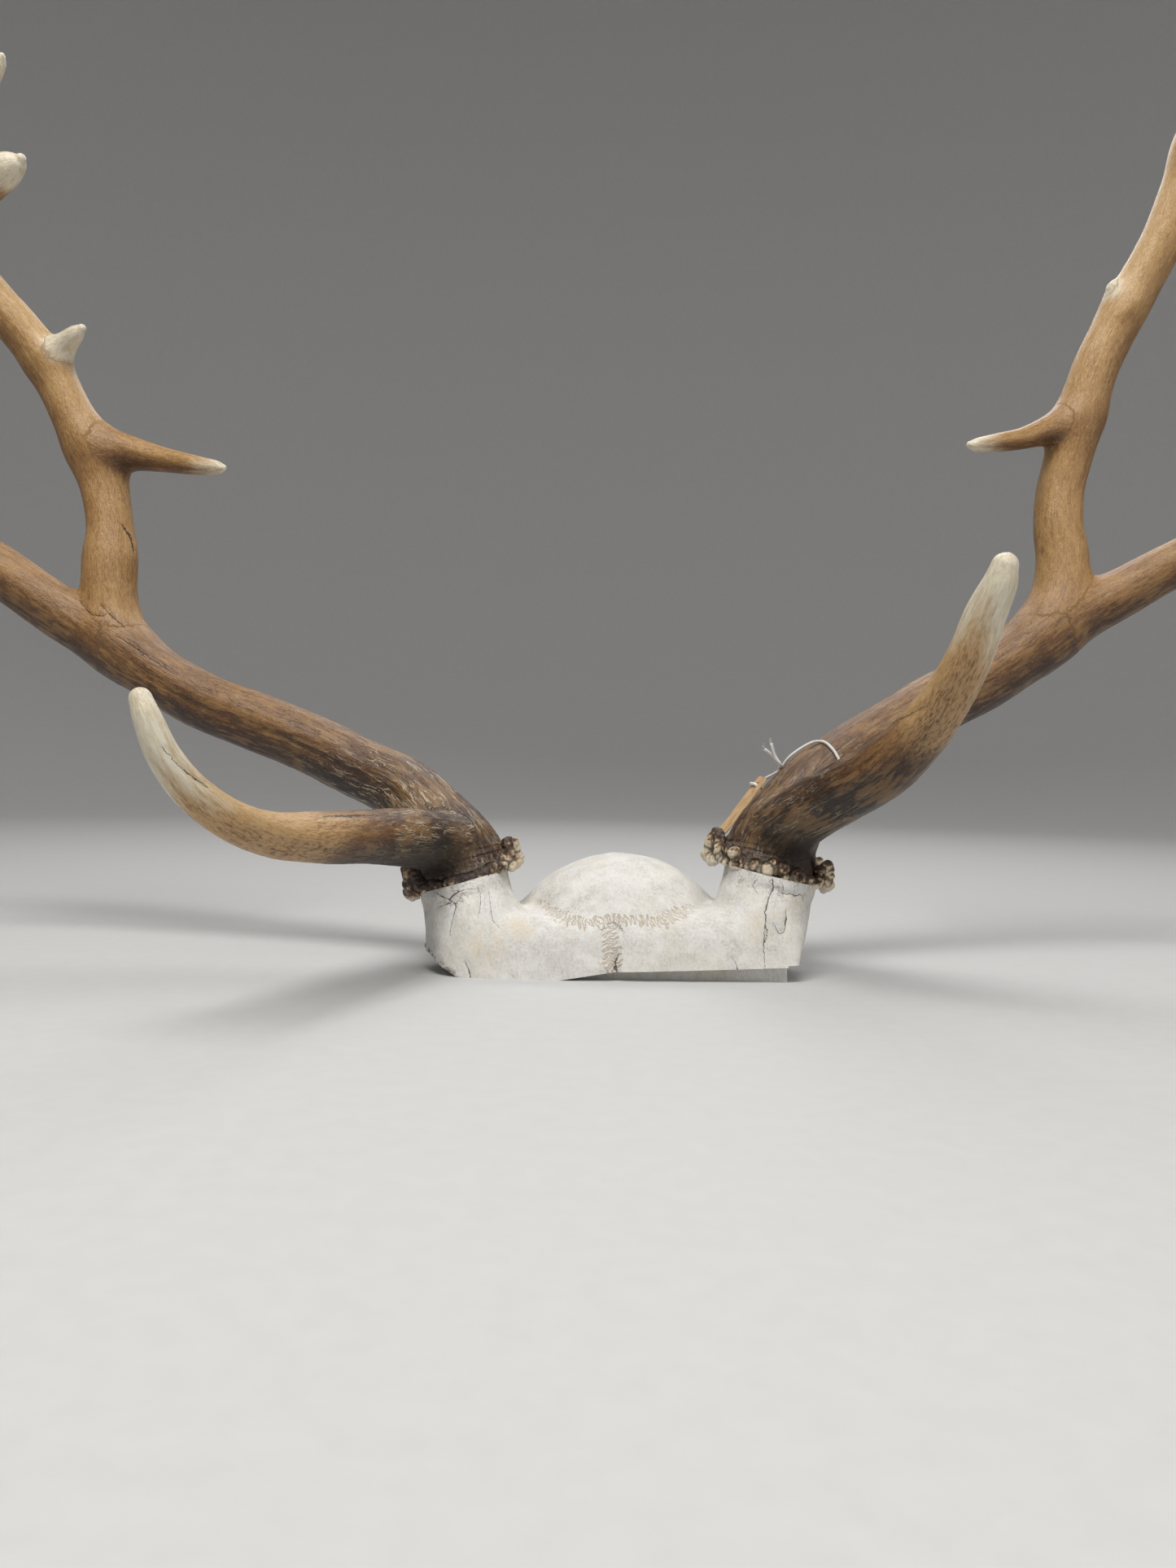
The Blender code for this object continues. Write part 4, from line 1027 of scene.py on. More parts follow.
def bone_relief(points, marks):
    """Height of the bone's roughness in mm."""
    x, y, z = points.T
    stalk = pedicle_share(points)
    swell = hills(points, 17, 41)
    dimple = hills(points, 6, 46)
    grit = hills(points, 2.2, 42)
    turn = np.arctan2(y, np.abs(x) - BURR_X)
    fibre = lattice_noise(turn * 21 / 1.6, z / 12, x / 40, 43)
    chipped = chip_share(points)
    torn = hills(points, 3.4, 44) + 0.7 * hills(points, 1.6, 45)
    across, _, width, near = line_marks(points, marks["cracks"])
    groove = near * np.minimum(0.25 + 0.9 * width, 1.8) * np.exp(
        -(across / (0.6 + 0.5 * width)) ** 2)
    seam = line_marks(points, marks["seams"], far_limit=4.5)[3]
    ridge = np.exp(-((x + 2.5) / 4) ** 2) * ease(z, 28, 40)
    knob = np.linalg.norm(points - marks["knob"], axis=1) / KNOB[2]
    lip = sum(ease(local[:, 2], -9, -0.5) * (np.abs(local[:, 2]) < 12)
              * np.clip(-local[:, 1] / 20, 0, 1) * (np.hypot(*local[:, :2].T) < 30)
              for local in (burrs[side].local(points) for side in (-1, 1)))
    return (0.8 * swell + 0.5 * dimple + 0.2 * grit + 0.55 * stalk * fibre
            + 2.2 * chipped * torn - groove - 0.25 * seam + 0.5 * ridge
            + 1.3 * np.exp(-knob ** 2) + LIP * lip)


def pedicle_share(points):
    """1 on the pedicles, 0 on the rest of the cap."""
    reach = np.hypot(np.abs(points[:, 0]) - BURR_X, points[:, 1])
    return ease(points[:, 2], 12, 30) * (1 - ease(reach, 24, 34))


def chip_share(points):
    """1 on the broken corner, 0 elsewhere."""
    level = ((points[:, 0] - CHIP_MIDDLE.x) * math.sin(CHIP_SLOPE)
             + (points[:, 2] - CHIP_MIDDLE.z) * math.cos(CHIP_SLOPE))
    return (1 - ease(level, 0.6, 2.6)) * (1 - ease(points[:, 0], -74, -66))


# %% [markdown]
# ## The cap before the saw
# Voxel remesh melts the shapes together, and Smooth flows them into each other as bone does.
# Sculpting by hand would look as natural, but could not be repeated.

# %% Make the cap
skull_cap = add_ball(*DOME)
solids = [add_ball(*TEMPLE), add_brow()]
solids += [rough_tube(GrowthLine("pedicle", points)) for points in PEDICLES]
choose(skull_cap, *solids)
bpy.ops.object.join()
apply_modifier(skull_cap, "REMESH", mode="VOXEL", voxel_size=CAP_VOXELS[0] * MM)
apply_modifier(skull_cap, "SMOOTH", factor=0.5, iterations=SOFTENING)
chip_out = Matrix.Rotation(CHIP_SLOPE, 3, "Y") @ Vector((0, 0, -1))
slice_off(skull_cap, CHIP_MIDDLE * MM, chip_out)
flank_turn = Matrix.Rotation(FLANK_TURN, 3, "Z") @ Matrix.Rotation(FLANK_LEAN, 3, "Y")
slice_off(skull_cap, FLANK_TOP * MM, flank_turn @ Vector((1, 0, 0)))
apply_modifier(skull_cap, "REMESH", mode="VOXEL", voxel_size=CAP_VOXELS[1] * MM)
apply_modifier(skull_cap, "SMOOTH", factor=0.5, iterations=2)
marks = {"cracks": traced(skull_cap, CAP_CRACKS),
         "seams": traced(skull_cap, [CORONAL_SEAM, FRONTAL_SEAM]),
         "knob": np.array(lands_on(skull_cap, *KNOB[:2]))}
bone = read_points(skull_cap)
stain_spots, crazed_spots = (
    [(lands_on(skull_cap, x, z), radius) for x, z, radius in spots] for spots in (STAINS, CRAZED))
write_points(skull_cap, bone + read_normals(skull_cap) * bone_relief(bone, marks)[:, None])
apply_modifier(skull_cap, "REMESH", mode="VOXEL", voxel_size=CAP_VOXELS[2] * MM)
print("cap melted", len(skull_cap.data.polygons), "faces")

# %% [markdown]
# ## The saw cuts
# The cap was sawn off the skull, with a second shallow cut under the right half of its front.
# Inside is the roof of the brain's hollow. Bisect makes the straight cut, and Boolean takes
# out the step and the hollow, because those have corners or curves.

# %% Saw the cap
STEP_FRONT = -200.0    # well in front of the cap
saw_down = LAYOUT.to_3x3() @ Vector((0, 0, -1))
slice_off(skull_cap, SAW_CUT_MIDDLE, saw_down)
prism = [(x * MM, y * MM, z * MM) for y in (STEP_FRONT, STEP_BACK) for x, z in STEP_OUTLINE]
corners = len(STEP_OUTLINE)
walls = [(n, (n + 1) % corners, (n + 1) % corners + corners, n + corners) for n in range(corners)]
step = bpy.data.meshes.new("step")
step.from_pydata(prism, [], [*walls, tuple(range(corners))[::-1],
                             tuple(range(corners, 2 * corners))])
for tool in (add_object("step", step), add_block(*FOOT_END), add_ball(*HOLLOW)):
    carve(skull_cap, tool)
for side in (-1, 1):
    seat, upwards = burr_seat(side)
    slice_off(skull_cap, (seat - CLEARANCE * upwards) * MM, upwards)
apply_modifier(skull_cap, "TRIANGULATE", min_vertices=5)
print("cap sawn", len(skull_cap.data.polygons), "faces")

# %% [markdown]
# Sawn faces are flat and grey-brown, so they get a material of their own. A face belongs to
# the saw when it lies in one of the cuts. The rest of the cap keeps its marks as numbers.

# %% Sort the cap's faces and store its marks
SAWN_TOLERANCE = 0.05
ROOF_TOLERANCE = 0.35    # the step's roof isn't quite level
ROOF_FROM = -8    # the x at which it begins
NEAR_SEAM = (4.2, 5.6)    # from here on a seam fades out to the side


def lies_in_saw_cut(middle):
    """Whether a face middle, in layout mm, lies in the cut that the cap stands on or its step."""
    flat = STAND @ (middle * MM)
    step_back = abs(middle.y - STEP_BACK) < SAWN_TOLERANCE and middle.z < STEP_TOP + 0.1
    step_roof = (middle.y < STEP_BACK and abs(middle.z - STEP_TOP) < ROOF_TOLERANCE
                 and middle.x > ROOF_FROM)
    return abs(flat.z) < SAWN_TOLERANCE * MM or step_back or step_roof


sawn = [face for face in skull_cap.data.polygons if lies_in_saw_cut(face.center / MM)]
for face in sawn:
    face.material_index = 1
bone = read_points(skull_cap)
across, _, width, near = line_marks(bone, marks["cracks"])
store(skull_cap, crack=across, crack_width=width * near)
across, along, swing, near = line_marks(bone, marks["seams"], *NEAR_SEAM)
store(skull_cap, seam_across=across, seam_along=along, seam_swing=swing, seam_near=near,
      stalk=pedicle_share(bone), chipped=chip_share(bone),
      stained=spots_share(bone, stain_spots), crazed=spots_share(bone, crazed_spots))
print("sawn faces", len(sawn))
stand_on_cut(skull_cap, "sawn_skull_cap")
skull_cap.data.set_sharp_from_angle(angle=math.radians(48))

# %% [markdown]
# ## The card tag
# A blank card hangs behind the right beam, seen almost edge on. A grid is rounded at its
# corners, thickened, punched, and curled a little, as old card is.

# %% Make the tag
TAG_LENGTH = 34.5
TAG_WIDTH = 22.0
TAG_THICKNESS = 0.5
TAG_CORNER = 4.0
TAG_HOLE = (-5.0, 11.0, 2.0)    # along, across, radius
TAG_TOP_CORNER = Vector((73.8, 11.0, 85.5))
TAG_LEAN = math.radians(36.5)
TAG_TURN = math.radians(3)
TAG_CURL = 0.9
NICK = (-20.0, 0.0, 1.3)    # a small tear in the near edge: along, across, size
NICK_DEPTH = 0.9


def tag_frame():
    """The tag's place: X along its length upwards, Y along its width to the back."""
    upwards = Vector((math.sin(TAG_LEAN), 0.0, math.cos(TAG_LEAN)))
    flat_out = Vector((-math.cos(TAG_LEAN), 0.0, math.sin(TAG_LEAN)))
    backwards = Vector((0, 1, 0)) * math.cos(TAG_TURN) + flat_out * math.sin(TAG_TURN)
    axes = Matrix((upwards, backwards, upwards.cross(backwards))).transposed().to_4x4()
    return Matrix.Translation(TAG_TOP_CORNER) @ axes


deselect_all()
bpy.ops.mesh.primitive_grid_add(x_subdivisions=70, y_subdivisions=44, size=2.0)
card = bpy.context.object
flat = read_points(card) * MM
half = np.array([TAG_LENGTH, TAG_WIDTH]) / 2
flat[:, :2] *= half
over = np.abs(flat[:, :2]) - (half - TAG_CORNER)
in_corner = (over > 0).all(1)
squeeze = over[in_corner].max(1) / np.linalg.norm(over[in_corner], axis=1)
corner_middle = np.sign(flat[in_corner, :2]) * (half - TAG_CORNER)
flat[in_corner, :2] = corner_middle + (flat[in_corner, :2] - corner_middle) * squeeze[:, None]
flat[:, :2] += np.array([-TAG_LENGTH, TAG_WIDTH]) / 2
nick = np.exp(-(np.hypot(flat[:, 0] - NICK[0], flat[:, 1] - NICK[1]) / NICK[2]) ** 2)
flat[:, 1] += NICK_DEPTH * nick
write_points(card, flat)
apply_modifier(card, "SOLIDIFY", thickness=TAG_THICKNESS * MM, offset=0.0)
bpy.ops.mesh.primitive_cylinder_add(vertices=32, radius=TAG_HOLE[2] * MM, depth=6 * MM,
                                    location=(TAG_HOLE[0] * MM, TAG_HOLE[1] * MM, 0))
carve(card, settled())
curled = read_points(card)
from_hole = (curled[:, 0] - TAG_HOLE[0]) / TAG_LENGTH
from_middle = (curled[:, 1] - TAG_HOLE[1]) / TAG_WIDTH
curled[:, 2] += TAG_CURL * (from_hole ** 2 - 0.8 * from_middle ** 2 * (1 + from_hole))
write_points(card, curled)
to_layout = Matrix.Diagonal((1 / MM, 1 / MM, 1 / MM, 1))
to_metres = Matrix.Diagonal((MM, MM, MM, 1))
for change in (to_layout, tag_frame(), to_metres):
    card.data.transform(change)
stand_on_cut(card, "blank_tag")
card.data.set_sharp_from_angle(angle=math.radians(50))

# %% [markdown]
# ## The cotton string
# The string passes round the beam, through the tag's hole and back to a small knot. Its middle
# line is drawn first and pushed clear of the antler's real skin. Three thin strands are then
# twisted round that line, because a single round tube would look like wire.

# %% The string's route
STRAND_RADIUS = 0.40
STRAND_OFFSET = 0.38    # from the string's middle to the middle of a strand
TWIST_PITCH = 3.4
STRING_CLEAR = 0.85    # from the antler's skin to the string's middle
STRING_STEP = 0.35
# Round the beam: (distance along it, degrees round it from above, distance off its surface)
STRING_WRAP = [(43, -58, 1.7), (46, -36, 1.5), (50, -16, 1.4), (57, 4, 1.3), (58.5, 26, 1.3),
               (57.5, 52, 1.3), (54.5, 82, 1.3), (51, 115, 1.4), (47, 150, 1.5),
               (43, 185, 1.5), (40, 220, 1.5), (37, 252, 1.6), (35, 280, 2.0)]
# In the tag's own directions: through its hole and round its far edge
STRING_AT_TAG = [(-5.0, 0.0, -2.2), (-5.0, 0.0, 0.0), (-5.2, 1.7, 1.1), (-5.3, 6.0, 1.05),
                 (-5.2, 11.4, 0.95), (-4.4, 12.5, -0.5), (-2.0, 12.2, -2.0)]
TIE_FROM_KNOT = Vector((-1.2, 0.8, 1.5))
FIRST_FREE_END = [(75.9, 9.5, 102.0), (77.8, 10.3, 95.7), (81.0, 11.8, 91.2)]
LAST_FREE_END = [(80.9, 13.4, 91.1), (77.7, 12.0, 95.2), (72.9, 9.6, 99.3)]
# The right beam as the measured model has it, which the string was laid round
PLAIN_RIGHT_BEAM = [(71, 0, 45, 21.6), (76, 3, 56, 19.6), (86, 8, 70, 17.8), (100, 14, 84, 16.6),
                    (118, 20, 96, 15.8), (140, 26, 108, 15.6), (163, 32, 121, 15.6),
                    (187, 37, 132, 15.6), (206, 40, 144, 15.4), (223, 42, 156, 15.2)]


def beside_beam(along, angle, lift):
    """A point off the right beam's surface, by its distance along the beam and angle round it."""
    curve, travelled = even_curve(PLAIN_RIGHT_BEAM, 0.5)
    index = int(np.searchsorted(travelled, along))
    forward = Vector(curve[index + 1, :3] - curve[index, :3]).normalized()
    upper = (Vector((0, 0, 1)) - forward * forward.z).normalized()
    front = forward.cross(upper)
    turn = math.radians(angle)
    reach = float(curve[index, 3]) + lift
    return Vector(curve[index, :3]) + reach * (upper * math.cos(turn) + front * math.sin(turn))


def clear_of(points, target, distance):
    """Push points until they are at least a distance outside a standing piece."""
    for index, point in enumerate(points):
        spot = STAND @ (Vector(point) * MM)
        _, surface, normal, _ = target.closest_point_on_mesh(spot)
        height = (spot - surface).dot(normal)
        if height < distance * MM:
            moved = spot + normal * (distance * MM - height)
            points[index] = (LAYOUT @ moved) / MM
    return points


middle = Vector((0.0, TAG_WIDTH / 2, 0.0))
at_tag = [tag_frame() @ (Vector(point) + middle) for point in STRING_AT_TAG]
wrap = [beside_beam(*step) for step in STRING_WRAP]
knot_place = wrap[0].copy()
route = FIRST_FREE_END + wrap + at_tag + [knot_place + TIE_FROM_KNOT] + LAST_FREE_END
route = np.array([tuple(point) for point in route])
line, travelled = even_curve(route, STRING_STEP)
for _ in range(3):
    line = clear_of(line, right_antler, STRING_CLEAR)
    line[2:-2] = (line[:-4] + line[1:-3] + line[2:-2] + line[3:-1] + line[4:]) / 5
line = clear_of(line, right_antler, STRING_CLEAR - 0.1)
print("string length", round(float(travelled[-1]), 1), "mm")

# %% [markdown]
# ## Strands, knot and frayed ends
# Cotton string is three yarns twisted together, and its cut ends fray into loose fibres. The
# yarns are swept along the route, and the knot is a small loop of the same yarns.

# %% Twist three strands along the route, and tie the knot
THIRD_OF_TURN = 2.0944
KNOT_STRAND = (0.3, 0.34)    # the knot's strands: offset, radius
HAIRS = 7    # loose fibres at each end of the string
HAIR_RADIUS = 0.07


def strand(points, radius):
    """A round thread through some points, as a closed mesh."""
    places = [Vector(point) * MM for point in points]
    return bevelled_tube(places, [1.0] * len(places), radius * MM, 2)


def twisted(points, pitch, offset, phase):
    """One strand's path, winding round a middle line."""
    _, side, up = turning_frames(points)
    turn = 2 * np.pi * distances_along(points) / pitch + phase
    return points + offset * (side * np.cos(turn)[:, None] + up * np.sin(turn)[:, None])


knot_turn = np.linspace(0, 4 * np.pi, 90)
swing = 1.15 + 0.45 * np.cos(1.5 * knot_turn)
loops = np.column_stack([swing * np.cos(knot_turn), 0.75 * np.sin(1.5 * knot_turn),
                         swing * np.sin(knot_turn)]) + np.array(knot_place)
threads = [strand(twisted(path, TWIST_PITCH, offset, THIRD_OF_TURN * n), radius)
           for path, offset, radius in ((line, STRAND_OFFSET, STRAND_RADIUS),
                                        (loops, *KNOT_STRAND))
           for n in range(3)]
fray = np.random.default_rng(9)
for tip, inner in ((line[0], line[3]), (line[-1], line[-4])):
    outward = (tip - inner) / np.linalg.norm(tip - inner)
    for _ in range(HAIRS):
        bend = fray.normal(0, 0.45, 3)
        hair = [tip - outward * 0.3 + (outward * 1.9 + bend) * t + bend * t * t
                for t in np.linspace(0, 1, 6)]
        threads.append(strand(np.array(hair), HAIR_RADIUS))
string = threads[0]
choose(string, *threads[1:])
bpy.ops.object.join()
stand_on_cut(string, "twisted_string")

# %% [markdown]
# ## Words for materials
# Each finish is a small network of nodes: noise stretched along the growth, ramps that turn a
# number into a colour, and a bump. A short helper keeps those networks readable.

# %% Node helper
class Tree:
    """Adds shader nodes and links them in few words."""

    def __init__(self, tree):
        self.tree = tree

    def node(self, kind, feeds, output=0, **settings):
        made = self.tree.nodes.new("ShaderNode" + kind)
        for name, value in settings.items():
            setattr(made, name, value)
        for socket, value in feeds.items():
            if isinstance(value, bpy.types.NodeSocket):
                self.tree.links.new(value, made.inputs[socket])
            else:
                made.inputs[socket].default_value = value
        return made.outputs[output]

    def attribute(self, name, output="Fac"):
        return self.node("Attribute", {}, output, attribute_name=name)

    def attributes(self, names):
        return [self.attribute(name) for name in names.split()]

    def place(self):
        return self.node("TexCoord", {}, "Object")

    def math(self, operation, first, second=0.0, third=0.0):
        return self.node("Math", {0: first, 1: second, 2: third}, operation=operation)

    def total(self, *parts):
        """The sum of values and (value, weight) pairs."""
        result = 0.0
        for part in parts:
            value, weight = part if isinstance(part, tuple) else (part, 1.0)
            result = self.math("MULTIPLY_ADD", value, weight, result)
        return result

    def product(self, *parts):
        result = parts[0]
        for part in parts[1:]:
            result = self.math("MULTIPLY", result, part)
        return result

    def step(self, value, low, high):
        """0 below low, 1 above high, smooth between; low may be the larger."""
        return self.node("MapRange", {"Value": value, "From Min": low, "From Max": high},
                         interpolation_type="SMOOTHSTEP")

    def stretched(self, vector, widths):
        """Coordinates in which noise has hills of these widths in mm, or of one width."""
        widths = widths if isinstance(widths, tuple) else (widths,) * 3
        return self.node("VectorMath", {0: vector, 1: [1 / (width * MM) for width in widths]},
                         operation="MULTIPLY")

    def noise(self, vector, widths, detail=2.0, roughness=0.5):
        return self.node("TexNoise", {"Vector": self.stretched(vector, widths), "Scale": 1.0,
                                      "Detail": detail, "Roughness": roughness})

    def coat(self, under, share, over):
        """A colour under a share of another, which is a socket or (red, green, blue)."""
        over = (*over, 1.0) if isinstance(over, tuple) else over
        return self.node("Mix", {0: share, 6: under, 7: over}, 2, data_type="RGBA")

    def ramp(self, value, *stops):
        """A colour for a value; stops are (value, colour)."""
        made = self.tree.nodes.new("ShaderNodeValToRGB")
        band = made.color_ramp
        while len(band.elements) < len(stops):
            band.elements.new(0.5)
        for element, (place, colour) in zip(band.elements, stops):
            element.position = place
            element.color = (*colour, 1.0)
        self.tree.links.new(value, made.inputs[0])
        return made.outputs[0]


# %% [markdown]
# ## Starting and finishing a material
# All finishes here are the Principled shader with a colour, a roughness and a bump, so three
# short helpers start a material, link its parts and put it on a piece.

# %% Start, finish and put on a material
def new_material(name):
    """An empty Principled material: its tree and its shader's inputs."""
    material = bpy.data.materials.new(name)
    material.use_nodes = True
    shader = material.node_tree.nodes["Principled BSDF"]
    return material, Tree(material.node_tree), shader


def put_on(piece, *finishes):
    """Give a piece its materials."""
    piece.data.materials.clear()
    for finish in finishes:
        piece.data.materials.append(finish)


def finish_material(tree, shader, colour, roughness, height, distance, strength):
    """Link a finish to its shader; height is in units of the bump distance in mm."""
    normal = tree.node("Bump", {"Strength": strength, "Distance": distance * MM,
                                "Height": height})
    for socket, value in (("Base Color", colour), ("Roughness", roughness), ("Normal", normal)):
        tree.tree.links.new(value, shader.inputs[socket])


print("material helpers ready")

# %% [markdown]
# ## Antler
# Antler is stained by bark and sap in the furrows and rubbed pale on the ridges, so colour
# comes from the same growth coordinates as the relief. The ivory tips, the dark bark just above
# the burr with its painted shadow under the brow tine, and the painted shade of the undersides
# and of the gaps between pearls were stored on the mesh, because they belong to places and not to
# the pattern.

# %% Masks that the antler and the bone share
def new_mask_group(name, **sockets):
    """An empty node group that gives a mask: the group, its tree and its inputs."""
    group = bpy.data.node_groups.new(name, "ShaderNodeTree")
    for socket, kind in sockets.items():
        group.interface.new_socket(socket, in_out="INPUT", socket_type="NodeSocket" + kind)
    group.interface.new_socket("Mask", in_out="OUTPUT", socket_type="NodeSocketFloat")
    return group, Tree(group), group.nodes.new("NodeGroupInput").outputs


def lines_group():
    """A node group: wandering thin lines where a soft noise crosses its middle value."""
    group, t, given = new_mask_group("thin_lines", Place="Vector", Width="Float")
    noise = t.node("TexNoise", {"Vector": given["Place"], "Scale": 1.0, "Detail": 1.0})
    gap = t.math("ABSOLUTE", t.math("SUBTRACT", noise, 0.5))
    mask = t.step(gap, given["Width"], t.product(given["Width"], 0.3))
    group.links.new(mask, group.nodes.new("NodeGroupOutput").inputs["Mask"])
    return group


def crack_group():
    """A node group: ragged cracks from the stored distance to the side of each drawn line."""
    group, t, given = new_mask_group("ragged_crack", Aside="Float", Width="Float",
                                     Place="Vector")
    ragged = t.math("SUBTRACT", t.noise(given["Place"], 1.5, 3.0, 0.65), 0.5)
    broad = t.noise(given["Place"], 1.8, 2.0)
    gap = t.math("ABSOLUTE", t.total(given["Aside"], (ragged, 1.7)))
    width = t.product(given["Width"], t.total((broad, 1.3), -0.10))
    mask = t.step(t.math("DIVIDE", gap, t.total(width, 0.001)), 1.0, 0.55)
    group.links.new(mask, group.nodes.new("NodeGroupOutput").inputs["Mask"])
    return group


ragged_crack, wandering_lines = crack_group(), lines_group()


def thin_lines(t, vector, widths, width):
    return t.node("Group", {"Place": t.stretched(vector, widths), "Width": width},
                  node_tree=wandering_lines)


def crack_mask(t, place):
    return t.node("Group", {"Aside": t.attribute("crack"), "Width": t.attribute("crack_width"),
                            "Place": place}, node_tree=ragged_crack)


print("shared masks", ragged_crack.name, wandering_lines.name)

# %% Antler material
def antler_material():
    material, t, shader = new_material("antler")
    grow, place = t.attribute("grow", "Vector"), t.place()
    tone, ivory, pattern, shadow, throat = t.attributes("tone ivory pattern shadow throat")
    fleck, pearl, pale, crevice = t.attributes("fleck pearl pale crevice")
    fine = t.noise(grow, (0.8, 0.8, 3.2), 4.0, 0.65)
    streak = t.noise(grow, (2.0, 2.0, 12.0), 3.0, 0.6)
    grain = t.noise(grow, (0.45, 0.45, 1.0), 2.0, 0.6)
    patch = t.noise(place, 20.0, 3.0)

    # the undersides are darkened here as painted shade
    level = t.total(tone, (pattern, 0.12), (fine, 0.56), (streak, 0.26), (patch, 0.16),
                    (grain, 0.38), (shadow, -0.34), (fleck, -0.06), -0.72)
    colour = t.ramp(level, (0.0, (0.014, 0.006, 0.003)), (0.16, (0.052, 0.022, 0.008)),
                    (0.34, (0.138, 0.063, 0.020)), (0.54, (0.262, 0.138, 0.048)),
                    (0.76, (0.440, 0.268, 0.110)), (1.0, (0.62, 0.45, 0.25)))
    amber = t.product(t.step(t.total(patch, streak), 0.98, 1.16), t.step(ivory, 0.6, 0.0), 0.34)
    colour = t.coat(colour, amber, (0.36, 0.205, 0.070))
    honey = t.product(t.attribute("gold"), t.step(fine, 0.34, 0.58), 0.60)
    colour = t.coat(colour, honey, (0.54, 0.355, 0.170))
    dark_lines = t.product(thin_lines(t, grow, (2.4, 2.4, 15.0), 0.020),
                           t.step(streak, 0.52, 0.42), t.step(tone, 0.66, 0.42), 0.50)
    colour = t.coat(colour, dark_lines, (0.030, 0.015, 0.008))
    crust = t.product(t.math("MAXIMUM", thin_lines(t, grow, (1.5, 1.5, 12.0), 0.042),
                             t.step(grain, 0.60, 0.68)),
                      t.step(t.noise(grow, (3.5, 3.5, 14.0), 2.0), 0.42, 0.56), fleck, 0.80)
    colour = t.coat(colour, crust, (0.50, 0.405, 0.28))
    worn = t.ramp(t.total((streak, 0.5), (fine, 0.5)), (0.34, (0.50, 0.41, 0.27)),
                  (0.5, (0.64, 0.57, 0.43)), (0.64, (0.72, 0.67, 0.55)))
    clean = t.step(t.total(ivory, (streak, 0.45), (patch, 0.35), -0.40), 0.10, 0.80)
    colour = t.coat(colour, clean, worn)
    # dark bark just above the burr, with painted shadow under the brow tine
    colour = t.coat(colour, throat, (0.014, 0.008, 0.005))
    bead = t.ramp(t.total(pale, (grain, 0.7), (fine, 0.3), -0.5),
                  (0.0, (0.030, 0.015, 0.008)), (0.28, (0.115, 0.058, 0.027)),
                  (0.55, (0.36, 0.235, 0.125)), (0.85, (0.68, 0.59, 0.43)))
    colour = t.coat(colour, t.step(pearl, 0.35, 0.8), bead)
    # painted shade in the gaps between the pearls
    colour = t.coat(colour, t.product(t.step(crevice, 0.10, 0.50), 0.80), (0.022, 0.012, 0.007))
    foot = t.step(t.total(t.attribute("foot"), (grain, 0.5), -0.25), 0.25, 0.75)
    colour = t.coat(colour, foot, (0.66, 0.60, 0.49))
    slit = crack_mask(t, place)
    colour = t.coat(colour, t.product(slit, 0.9), (0.02, 0.010, 0.006))

    roughness = t.total((clean, -0.08), (fine, 0.30), (throat, 0.12), 0.27)
    height = t.total((fine, 0.8), (grain, 0.5), (streak, 0.4), (crust, 0.35),
                     (dark_lines, -0.5), (slit, -1.5))
    finish_material(t, shader, colour, roughness, height, 0.45, 0.8)
    shader.inputs["Specular IOR Level"].default_value = 0.5
    return material


antler_finish = antler_material()
for antler in (left_antler, right_antler):
    put_on(antler, antler_finish)
print("antler material on", left_antler.name, right_antler.name)

# %% [markdown]
# ## Bone
# Boiled bone is chalk white, but never one white: fat leaves warm stains, the pedicles show
# upright fibres, and the seams between the skull's plates keep a tan line. The seams wander
# across their path, so the wave is made from the distance along and to the side.

# %% The wavy seams
SEAM_WAVE = 2.5    # mm from one swing of a seam to the next


def seam_mask(t):
    """The interlocking line between two plates of the skull."""
    across, along, swing, near = t.attributes("seam_across seam_along seam_swing seam_near")
    place = t.place()
    wander = t.noise(place, 4.0, 2.0)
    ragged = t.math("SUBTRACT", t.noise(place, 1.1, 2.0), 0.5)
    phase = t.total((along, 2 * math.pi / SEAM_WAVE), (across, 0.9), (wander, 16.0))
    reach = t.product(swing, t.total((t.noise(place, 3.0, 1.0), 2.6), -0.35))
    aside = t.total(across, (t.product(t.math("SINE", phase), reach), -1.0), (ragged, 1.1))
    slope = t.product(t.math("COSINE", phase), reach, 2 * math.pi / SEAM_WAVE)
    steep = t.math("SQRT", t.total(t.product(slope, slope), 1.0))
    gap = t.math("DIVIDE", t.math("ABSOLUTE", aside), steep)
    width = t.total((swing, 0.09), 0.22)
    return t.product(t.step(t.math("DIVIDE", gap, width), 1.0, 0.35), near,
                     t.step(swing, 0.3, 1.2))


print("a seam swings every", SEAM_WAVE, "mm")

